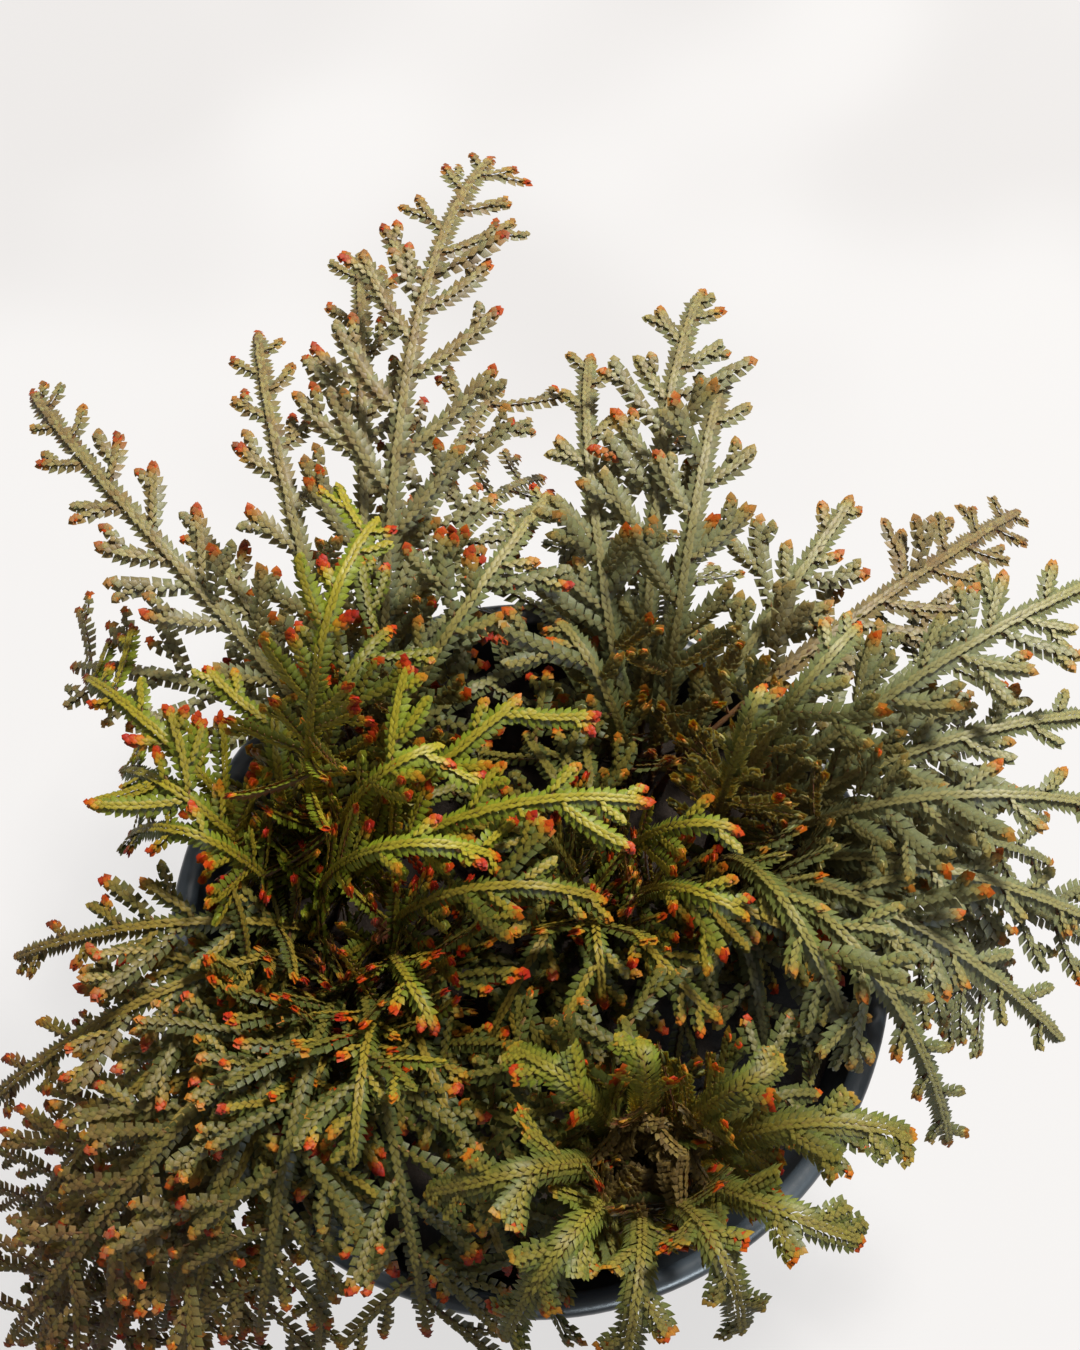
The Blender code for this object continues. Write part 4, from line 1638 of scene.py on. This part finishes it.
class Wire:
    """A shader socket in an expression, whose sums and products make Math nodes."""

    def __init__(self, graph: "Graph", socket: bpy.types.NodeSocket) -> None:
        """Holds the socket and the graph that new nodes go in."""
        self.graph = graph
        self.socket = socket

    def math(self, operation: str, first: Any, second: Any) -> "Wire":
        """A Math node on two values."""
        return self.graph.first("ShaderNodeMath", {"operation": operation}, {0: first, 1: second})

    def __add__(self, other: Any) -> "Wire":
        """This plus other."""
        return self.math("ADD", self, other)

    def __radd__(self, other: Any) -> "Wire":
        """Other plus this."""
        return self.math("ADD", other, self)

    def __sub__(self, other: Any) -> "Wire":
        """This minus other."""
        return self.math("SUBTRACT", self, other)

    def __rsub__(self, other: Any) -> "Wire":
        """Other minus this."""
        return self.math("SUBTRACT", other, self)

    def __mul__(self, other: Any) -> "Wire":
        """This times other."""
        return self.math("MULTIPLY", self, other)

    def __rmul__(self, other: Any) -> "Wire":
        """Other times this."""
        return self.math("MULTIPLY", other, self)

    def clamped(self) -> "Wire":
        """This, held between nought and one."""
        return self.graph.first("ShaderNodeClamp", {}, {"Value": self})

    def between(self, low: float, high: float) -> "Wire":
        """A smooth step from nought at low to one at high."""
        values = {"Value": self, "From Min": low, "From Max": high}
        return self.graph.first("ShaderNodeMapRange", {"interpolation_type": "SMOOTHSTEP"}, values)


class Graph:
    """A material's nodes, with a Principled shader at their end."""

    def __init__(self, name: str) -> None:
        """Starts a material with only its shader and its output.

        Args:
            name: The material's name.
        """
        self.material = bpy.data.materials.new(name)
        self.material.use_nodes = True
        self.nodes = self.material.node_tree.nodes
        self.shader = self.nodes["Principled BSDF"]
        self.places: Wire | None = None

    def put(self, socket: bpy.types.NodeSocket, value: Any) -> None:
        """Links a wire to a socket, or sets the socket's value.

        Args:
            socket: The socket.
            value: A wire, a number, or a colour without its alpha.
        """
        if isinstance(value, Wire):
            self.material.node_tree.links.new(value.socket, socket)
        elif isinstance(value, tuple) and len(socket.default_value) == len(value) + 1:
            socket.default_value = (*value, 1.0)
        else:
            socket.default_value = value

    def make(self, kind: str, settings: dict, sockets: dict) -> bpy.types.Node:
        """Makes a node.

        Args:
            kind: The node's type.
            settings: Its settings, set first. A ramp's stops are pairs of a place and a colour.
            sockets: The values or wires of its sockets, by name or number.

        Returns:
            The node.
        """
        node = self.nodes.new(kind)
        for name, value in settings.items():
            if name == "stops":
                ramp = node.color_ramp
                while len(ramp.elements) < len(value):
                    ramp.elements.new(1.0)
                for element, (place, colour) in zip(ramp.elements, value):
                    element.position = place
                    element.color = (*colour, 1.0)
            else:
                setattr(node, name, value)
        for name, value in sockets.items():
            self.put(node.inputs[name], value)
        return node

    def first(self, kind: str, settings: dict, sockets: dict) -> Wire:
        """The first output of a new node."""
        return Wire(self, self.make(kind, settings, sockets).outputs[0])

    def attribute(self, name: str) -> list[Wire]:
        """The three numbers of a vector attribute."""
        read = self.make("ShaderNodeAttribute", {"attribute_name": name}, {}).outputs["Vector"]
        return self.split(Wire(self, read))

    def split(self, vector: Wire) -> list[Wire]:
        """The three numbers of a vector."""
        return [Wire(self, output) for output in self.make("ShaderNodeSeparateXYZ", {}, {0: vector}).outputs]

    def share(self, name: str) -> Wire:
        """A number attribute."""
        return Wire(self, self.make("ShaderNodeAttribute", {"attribute_name": name}, {}).outputs["Fac"])

    def object_places(self) -> Wire:
        """Object coordinates, from one node for the whole material.

        Returns:
            The coordinates.
        """
        if self.places is None:
            self.places = Wire(self, self.make("ShaderNodeTexCoord", {}, {}).outputs["Object"])
        return self.places

    def noise(self, scale: float, detail: float, roughness: float = 0.5) -> Wire:
        """Noise in object coordinates."""
        sockets = {"Vector": self.object_places(), "Scale": scale, "Detail": detail, "Roughness": roughness}
        return self.first("ShaderNodeTexNoise", {}, sockets)

    def mix(self, share: Any, low: Any, high: Any, blend: str = "MIX") -> Wire:
        """A colour between two, by a share."""
        settings = {"data_type": "RGBA", "blend_type": blend}
        return Wire(self, self.make("ShaderNodeMix", settings, {0: share, 6: low, 7: high}).outputs[2])

    def ramp(self, value: Wire, stops: list[tuple]) -> Wire:
        """A colour from a ramp."""
        return self.first("ShaderNodeValToRGB", {"stops": stops}, {0: value})

    def bump(self, height: Wire, distance: float, strength: float) -> Wire:
        """A bumped normal."""
        sockets = {"Height": height, "Distance": distance, "Strength": strength}
        return self.first("ShaderNodeBump", {}, sockets)

    def finish(self, sockets: dict) -> bpy.types.Material:
        """Sets the shader's sockets.

        Args:
            sockets: The values or wires of its sockets, by name.

        Returns:
            The material.
        """
        for name, value in sockets.items():
            self.put(self.shader.inputs[name], value)
        return self.material


@dataclass(frozen=True)
class FrondFinish:
    """Spikemoss leaves and stems: greens by vigour and painted light, painted shade along leaf margins and
    bases, warm tips, crimson undersides and straw stems.
    """

    # bronze to bright follows the vigour, partly painted light: sunlit fronds brighter, shaded ones darker;
    # cool is partly painted shade, greyer where the clump is shaded
    bronze: tuple = (0.034, 0.041, 0.008)
    bright: tuple = (0.150, 0.185, 0.008)
    cool: tuple = (0.150, 0.166, 0.088)
    braid: tuple = (0.38, 0.23, 0.02)
    pale_braid: tuple = (0.42, 0.35, 0.15)
    # crease is the colour that the painted shade along leaf margins and bases multiplies in
    crease: tuple = (0.30, 0.25, 0.19)
    under: tuple = (0.11, 0.030, 0.020)
    bark: tuple = (0.055, 0.023, 0.013)
    straw: tuple = (0.14, 0.085, 0.030)
    olive: tuple = (0.26, 0.18, 0.015)
    ochre: tuple = (0.31, 0.115, 0.006)
    red: tuple = (0.28, 0.032, 0.002)
    crimson: tuple = (0.21, 0.010, 0.004)
    roughness: float = 0.48

    def build(self) -> bpy.types.Material:
        """Makes the material.

        Returns:
            The material.
        """
        graph = Graph("spikemoss")
        tipness, chance, braid = graph.attribute("growth")
        vigour_and_light, cool, woody = graph.attribute("stand")
        patch = graph.noise(90.0, 2.0)
        level = (vigour_and_light + (chance - 0.5) * 0.22 + (patch - 0.5) * 0.5).clamped()
        green = graph.mix(level, self.bronze, self.bright)
        green = graph.mix(cool * 0.85, green, self.cool)
        green = graph.mix(braid * 0.36, green, graph.mix(cool, self.braid, self.pale_braid))
        heat = tipness + (chance - 0.5) * 0.25 * tipness
        warm_stops = [(0.2, self.olive), (0.38, self.ochre), (0.62, self.red), (0.95, self.crimson)]
        warm = graph.ramp(heat, [(0.0, self.olive), *warm_stops])
        leaf = graph.mix(heat.between(0.05, 0.6), green, warm)
        # painted shade along each leaf's margin and base, from the shade attribute
        leaf = graph.mix((1.0 - graph.share("shade")) * 0.8, leaf, self.crease, "MULTIPLY")
        leaf = graph.mix(graph.share("under") * 0.85, leaf, self.under)
        stem = graph.mix(chance, self.bark, self.straw)
        colour = graph.mix(woody, leaf, stem)
        grain = graph.noise(2600.0, 1.0)
        return graph.finish(
            {
                "Base Color": colour,
                "Roughness": self.roughness + (grain - 0.5) * 0.25,
                "Normal": graph.bump(grain, 0.00012, 0.35),
                "Subsurface Weight": 0.2,
                "Subsurface Radius": (0.0016, 0.0010, 0.0004),
                "Subsurface Scale": 1.0,
                "Specular IOR Level": 0.1,
                "Coat Weight": 0.2 * (1.0 - 2.0 * heat).clamped() * (0.15 + level + cool).clamped(),
                "Coat Roughness": 0.45,
            }
        )


@dataclass(frozen=True)
class PotFinish:
    """Semi-gloss slate plastic with faint scuffs and dust."""

    slate: tuple = (0.036, 0.047, 0.058)
    worn: tuple = (0.085, 0.098, 0.108)
    dust: tuple = (0.17, 0.15, 0.125)

    def build(self) -> bpy.types.Material:
        """Makes the material.

        Returns:
            The material.
        """
        graph = Graph("pot_plastic")
        cloud = graph.noise(38.0, 4.0)
        grit = graph.noise(900.0, 3.0, 0.7)
        scuff = (cloud.between(0.55, 0.75) * grit.between(0.45, 0.7)).clamped()
        colour = graph.mix(scuff * 0.55, self.slate, self.worn)
        colour = graph.mix(grit.between(0.62, 0.8) * cloud.between(0.4, 0.6) * 0.35, colour, self.dust)
        return graph.finish(
            {
                "Base Color": colour,
                "Roughness": 0.3 + scuff * 0.3 + (grit - 0.5) * 0.12,
                "Normal": graph.bump(grit, 0.00008, 0.25),
                "Specular IOR Level": 0.5,
            }
        )


@dataclass(frozen=True)
class SoilFinish:
    """Dark moist peat and bark."""

    dark: tuple = (0.014, 0.009, 0.006)
    brown: tuple = (0.060, 0.034, 0.019)
    pale: tuple = (0.17, 0.11, 0.065)

    def build(self) -> bpy.types.Material:
        """Makes the material.

        Returns:
            The material.
        """
        graph = Graph("soil")
        chance = graph.attribute("growth")[1]
        grain = graph.noise(520.0, 6.0, 0.65)
        colour = graph.mix((grain * 0.6 + chance * 0.5).between(0.3, 0.9), self.dark, self.brown)
        colour = graph.mix(chance.between(0.9, 1.0) * 0.7, colour, self.pale)
        return graph.finish(
            {
                "Base Color": colour,
                "Roughness": 0.75 + grain * 0.2,
                "Normal": graph.bump(grain, 0.0006, 0.8),
                "Specular IOR Level": 0.3,
            }
        )


@dataclass(frozen=True)
class FloorFinish:
    """A pale, matt floor, lit evenly like a light table, with soft patches of painted shadow on its far part.
    """

    pale: tuple = (0.09, 0.09, 0.092)
    glow: tuple = (0.93, 0.915, 0.905)
    # cloud is the colour of the painted shadow patches
    cloud: tuple = (0.82, 0.80, 0.79)
    shadow_from: float = 0.08
    shadow_to: float = 0.13
    strength: float = 0.75

    def build(self) -> bpy.types.Material:
        """Makes the material.

        Returns:
            The material.
        """
        graph = Graph("floor")
        # painted shadow: soft grey patches on the floor's far part
        beyond = graph.split(graph.object_places())[1].between(self.shadow_from, self.shadow_to)
        cloud = graph.noise(13.0, 1.0).between(0.35, 0.6) * beyond
        glow = graph.mix(cloud, self.glow, self.cloud)
        return graph.finish(
            {
                "Base Color": self.pale,
                "Roughness": 0.9,
                "Specular IOR Level": 0.1,
                "Emission Color": glow,
                "Emission Strength": self.strength,
            }
        )


def placed(mesh: bpy.types.Mesh, material: bpy.types.Material) -> bpy.types.Object:
    """Puts a finished mesh in the scene under its own name, with its finish."""
    mesh.materials.append(material)
    return linked(mesh.name, mesh)


def spun(name: str, profile: list[tuple], steps: int) -> bpy.types.Mesh:
    """Turns a profile round the pot's axis into a closed mesh.

    Args:
        name: The mesh's name.
        profile: Points of (radius, height) in millimetres.
        steps: How many steps a full turn has.

    Returns:
        The mesh.
    """
    mesh = bmesh.new()
    corners = [mesh.verts.new((radius * MM, 0.0, height * MM)) for radius, height in profile]
    edges = [mesh.edges.new(pair) for pair in zip(corners, corners[1:])]
    bmesh.ops.spin(
        mesh,
        geom=corners + edges,
        cent=(0.0, 0.0, 0.0),
        axis=(0.0, 0.0, 1.0),
        angle=math.tau,
        steps=steps,
        use_merge=True,
    )
    bmesh.ops.remove_doubles(mesh, verts=mesh.verts[:], dist=0.000005)
    bmesh.ops.recalc_face_normals(mesh, faces=mesh.faces[:])
    return made_from(mesh, name)


@dataclass
class Pot:
    """The moulded pot: tapered wall, rim band with a rounded lip, floor with drain holes."""

    steps: int = 144
    rounding: float = 0.35
    crease: float = 22.0
    smooth_to: float = 50.0
    lip_steps: int = 12
    lip_power: float = 0.7
    lip_start: float = 1.6
    band_run: float = 0.2

    def profile(self) -> list[tuple]:
        """Draws the pot's section.

        Returns:
            Its points, from the inside of its floor over the lip to the middle of its underside.
        """
        band = POT.height - POT.rim_band
        inner = POT.inner_radius(band)
        ledge = (POT.rim_radius - POT.mouth_radius) / 2
        centre = POT.mouth_radius + ledge
        points = [
            (0.0, POT.floor),
            (POT.base_radius - POT.wall, POT.floor),
            (inner, band),
            (POT.mouth_radius, POT.height - POT.lip_round * self.lip_start),
        ]
        for step in range(self.lip_steps + 1):
            angle = math.pi * (1 - step / self.lip_steps)
            rise = POT.lip_round * math.sin(angle) ** self.lip_power
            points.append((centre + ledge * math.cos(angle), POT.height - POT.lip_round + rise))
        return points + [
            (POT.rim_radius - POT.lip_chamfer, band),
            (inner + POT.wall + self.band_run, band - POT.rim_step * 0.5),
            (inner + POT.wall, band - POT.rim_step),
            (POT.base_radius, POT.foot_chamfer),
            (POT.base_radius - POT.foot_chamfer, 0.0),
            (0.0, 0.0),
        ]

    def cutter(self, number: int) -> bpy.types.Object:
        """Makes a post through the floor where a drain hole goes.

        Args:
            number: Which hole it is for.

        Returns:
            The post.
        """
        angle = math.tau * (number + 0.5) / POT.drain_holes
        mesh = bmesh.new()
        bmesh.ops.create_cone(
            mesh,
            cap_ends=True,
            segments=32,
            radius1=POT.drain_radius * MM,
            radius2=POT.drain_radius * MM,
            depth=POT.floor * 4 * MM,
        )
        place = Vector((math.cos(angle), math.sin(angle), 0.0)) * POT.drain_circle * MM
        bmesh.ops.translate(mesh, verts=mesh.verts[:], vec=place)
        return linked("drain", made_from(mesh, "drain"))

    def build(self, material: bpy.types.Material) -> bpy.types.Object:
        """Makes the pot.

        Args:
            material: Its finish.

        Returns:
            The pot.
        """
        piece = placed(spun("nursery_pot", self.profile(), self.steps), material)
        cutters = [self.cutter(number) for number in range(POT.drain_holes)]
        for cutter in cutters:
            cut = piece.modifiers.new("Drain", "BOOLEAN")
            cut.operation = "DIFFERENCE"
            cut.object = cutter
        graph = bpy.context.evaluated_depsgraph_get()
        made = bpy.data.meshes.new_from_object(piece.evaluated_get(graph))
        piece.modifiers.clear()
        for cutter in cutters:
            bpy.data.objects.remove(cutter)
        mesh = bmesh.new()
        mesh.from_mesh(made)
        limit = math.radians(self.crease)
        sharp = [edge for edge in mesh.edges if len(edge.link_faces) == 2 and edge.calc_face_angle() > limit]
        bmesh.ops.bevel(
            mesh,
            geom=sharp,
            offset=self.rounding * MM,
            affect="EDGES",
            segments=3,
            profile=0.5,
            material=-1,
        )
        mesh.to_mesh(made)
        mesh.free()
        piece.data = made
        made.name = "nursery_pot"
        made.shade_smooth()
        made.set_sharp_from_angle(angle=math.radians(self.smooth_to))
        return piece


@dataclass
class Soil:
    """The soil body with a crumbled top, loose grains, and a few dry stalks lying on it.

    Each of the lumps is how close together its noise is, in which layer of the noise, and how high.
    """

    chance: np.random.Generator
    rings: int = 40
    steps: int = 120
    lumps: tuple = ((0.12, 0.0, 1.1), (0.5, 4.0, 0.6), (1.4, 9.0, 0.25))
    sunk: float = 0.3
    even_edge: float = 0.4
    even_depth: float = 1.0
    grains: int = 600
    grains_to: float = 46.0
    stalks: int = 22
    stalks_from: float = 43.0
    stalks_to: float = 45.0
    stalk_lengths: tuple = (8.0, 22.0)
    stalk_bends: tuple = (-0.6, 0.6)
    stalk_lifts: tuple = (0.0, 5.0)
    stalk_radii: tuple = (0.32, 0.25, 0.18)
    stalk_points: int = 9
    stalk_vigour: float = 0.2

    def surface(self, x: float, y: float) -> float:
        """Height of the rough surface at a place."""
        rough = sum(
            noise.noise(Vector((x * close, y * close, layer))) * high for close, layer, high in self.lumps
        )
        return POT.soil_height(math.hypot(x, y)) + rough - self.sunk

    def on_surface(self, x: np.ndarray, y: np.ndarray) -> np.ndarray:
        """Heights of the rough surface at many places."""
        return np.array([self.surface(*spot) for spot in zip(x, y)])

    def body(self) -> bpy.types.Mesh:
        """Makes the soil's closed body, rough on top.

        Returns:
            Its mesh.
        """
        edge = POT.inner_radius(POT.height - POT.soil_depth) - POT.soil_clearance
        low = POT.floor + POT.clearance
        radii = [edge * ring / self.rings for ring in range(self.rings)]
        profile = [(radius, POT.soil_height(radius)) for radius in radii]
        profile += [
            (edge, POT.height - POT.soil_depth),
            (POT.inner_radius(low) - POT.soil_clearance, low),
            (0.0, low),
        ]
        made = spun("soil_body", profile, self.steps)
        lowest = (POT.height - POT.soil_depth - self.even_depth) * MM
        for corner in made.vertices:
            x, y, z = corner.co
            if z > lowest and math.hypot(x, y) < (edge - self.even_edge) * MM:
                corner.co.z = self.surface(x / MM, y / MM) * MM
        made.attributes.new("growth", "FLOAT_VECTOR", "POINT")
        made.shade_smooth()
        return made

    def strew(self, foliage: Foliage) -> None:
        """Strews loose grains over the surface.

        Args:
            foliage: What they are added to.
        """
        radius = self.grains_to * np.sqrt(self.chance.uniform(0, 1, self.grains))
        turn = self.chance.uniform(0, math.tau, self.grains)
        x, y = radius * np.cos(turn), radius * np.sin(turn)
        size = 0.35 + 1.5 * self.chance.power(0.35, self.grains)
        size = np.minimum(size, 0.5 + self.chance.exponential(0.45, self.grains))
        base = np.column_stack([x, y, self.on_surface(x, y) + size * 0.1])
        heading = unit(self.chance.normal(0, 1, (self.grains, 3)))
        face = unit(np.cross(heading, self.chance.normal(0, 1, (self.grains, 3))))
        foliage.add_leaves(LeafForm.crumb(), Leaves(base, heading, face, size * 0.6, size, thickness=0.7))

    def dry_stalk(self) -> np.ndarray:
        """Draws a bent stalk that lies on the soil with one end a little raised.

        Returns:
            The points along it.
        """
        turn = self.chance.uniform(0, math.tau)
        radius = self.stalks_from * math.sqrt(self.chance.uniform(0, 1))
        way = self.chance.uniform(0, math.tau)
        length = self.chance.uniform(*self.stalk_lengths)
        share = np.linspace(0, 1, self.stalk_points)
        bend = self.chance.uniform(*self.stalk_bends)
        x = radius * math.cos(turn) + length * share * np.cos(way + bend * share)
        y = radius * math.sin(turn) + length * share * np.sin(way + bend * share)
        keep = np.minimum(1.0, self.stalks_to / np.maximum(np.hypot(x, y), 1e-6))
        x, y = x * keep, y * keep
        lift = self.chance.uniform(*self.stalk_lifts)
        return np.column_stack([x, y, self.on_surface(x, y) + 0.3 + lift * share])

    def loose(self) -> bpy.types.Mesh:
        """Makes what lies loose on the soil.

        Returns:
            Its mesh.
        """
        foliage = Foliage(self.chance)
        self.strew(foliage)
        stems = Stems()
        for _ in range(self.stalks):
            stems.add(self.dry_stalk(), self.stalk_radii)
        foliage.add_stems(stems, self.stalk_vigour)
        return foliage.mesh("soil_loose")

    def build(self, soil: bpy.types.Material) -> list[bpy.types.Object]:
        """Makes the soil's pieces.

        Args:
            soil: The soil's finish.

        Returns:
            The body and what is loose on it.
        """
        pieces = [placed(self.body(), soil), placed(self.loose(), soil)]
        return pieces


@dataclass(frozen=True)
class Lamp:
    """A square soft light that faces the clump, in metres and watts."""

    name: str
    place: tuple
    size: float
    power: float
    colour: tuple
    target: tuple = (0.0, 0.01, 0.09)

    def build(self) -> bpy.types.Object:
        """Places the lamp.

        Returns:
            The lamp.
        """
        light = bpy.data.lights.new(self.name, "AREA")
        light.size = self.size
        light.energy = self.power
        light.color = self.colour
        holder = linked(self.name, light)
        holder.location = self.place
        toward = Vector(self.place) - Vector(self.target)
        holder.rotation_euler = toward.to_track_quat("Z", "Y").to_euler()
        return holder


@dataclass
class Studio:
    """A pale floor, soft lights, and a camera high above the pot's near side."""

    focal_pixels: float = 2600.0
    image_height: float = 1350.0
    sensor: float = 36.0
    clip_start: float = 0.01
    elevation: float = 73.7
    distance: float = 0.388
    aim: tuple = (0.0015, 0.041, 0.080)
    floor_size: float = 4.0
    sky: tuple = (1.0, 0.99, 0.98, 1.0)
    sky_strength: float = 0.35
    key: Lamp = Lamp("key", (0.65, 0.95, 1.7), 0.30, 108.0, (1.0, 0.955, 0.89))
    glint: Lamp = Lamp("glint", (0.43, -0.78, 0.92), 0.35, 10.0, (0.8, 0.92, 1.0))

    def camera(self) -> None:
        """Places the camera."""
        lens = bpy.data.cameras.new("camera")
        lens.sensor_width = self.sensor
        lens.lens = self.focal_pixels / self.image_height * self.sensor
        lens.clip_start = self.clip_start
        holder = linked("camera", lens)
        rise = math.radians(self.elevation)
        back = Vector((0.0, -math.cos(rise), math.sin(rise)))
        holder.location = Vector(self.aim) + back * self.distance
        holder.rotation_euler = back.to_track_quat("Z", "Y").to_euler()
        bpy.context.scene.camera = holder

    def floor(self) -> None:
        """Lays the floor, which throws no light of its own on the pieces."""
        mesh = bmesh.new()
        bmesh.ops.create_grid(mesh, x_segments=1, y_segments=1, size=self.floor_size)
        piece = placed(made_from(mesh, "floor"), FloorFinish().build())
        piece.visible_diffuse = False
        piece.visible_transmission = False

    def build(self) -> None:
        """Sets up the camera, the floor, the lights and the sky."""
        self.camera()
        self.floor()
        self.key.build()
        glint = self.glint.build()
        glint.visible_diffuse = False
        glint.visible_transmission = False
        world = bpy.data.worlds.new("sky")
        world.use_nodes = True
        background = world.node_tree.nodes["Background"]
        background.inputs["Color"].default_value = self.sky
        background.inputs["Strength"].default_value = self.sky_strength
        bpy.context.scene.world = world
        bpy.context.scene.view_settings.view_transform = "Standard"


def log_faces(piece: bpy.types.Object) -> None:
    """Logs a finished piece."""
    LOG.info("%s: %d faces", piece.name, len(piece.data.polygons))


def main() -> None:
    """Builds the pot, the soil and the fronds around the frame."""
    logging.basicConfig(level=logging.INFO, format="%(message)s")
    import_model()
    Studio().build()
    pot = Pot().build(PotFinish().build())
    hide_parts("pot")
    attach(pot, "root")
    log_faces(pot)
    for piece in Soil(np.random.default_rng(SOIL_SEED)).build(SoilFinish().build()):
        if piece.name == "soil_body":
            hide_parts("potting_soil")
        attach(piece, "root")
        log_faces(piece)
    clump = Clump()
    fronds = clump.grow()
    low = FineGrowth(clump).dress(fronds)
    leafy = FrondFinish().build()
    dress = Dress(np.random.default_rng(LEAF_SEED))
    for frond in fronds:
        foliage = Foliage(dress.chance)
        dress.frond(foliage, frond, False)
        piece = placed(foliage.mesh(frond.name + "_leaves"), leafy)
        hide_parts(frond.name)
        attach(piece, "root")
        log_faces(piece)
    for name in TUFTS:
        foliage = Foliage(dress.chance)
        for frond in low:
            if frond.shoot.tuft == name:
                dress.frond(foliage, frond, True)
        piece = placed(foliage.mesh(name + "_lower_fronds"), leafy)
        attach(piece, "root")
        log_faces(piece)
    LOG.info("%d fronds over %d lower fronds", len(fronds), len(low))
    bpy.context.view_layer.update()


if __name__ == "__main__":
    main()
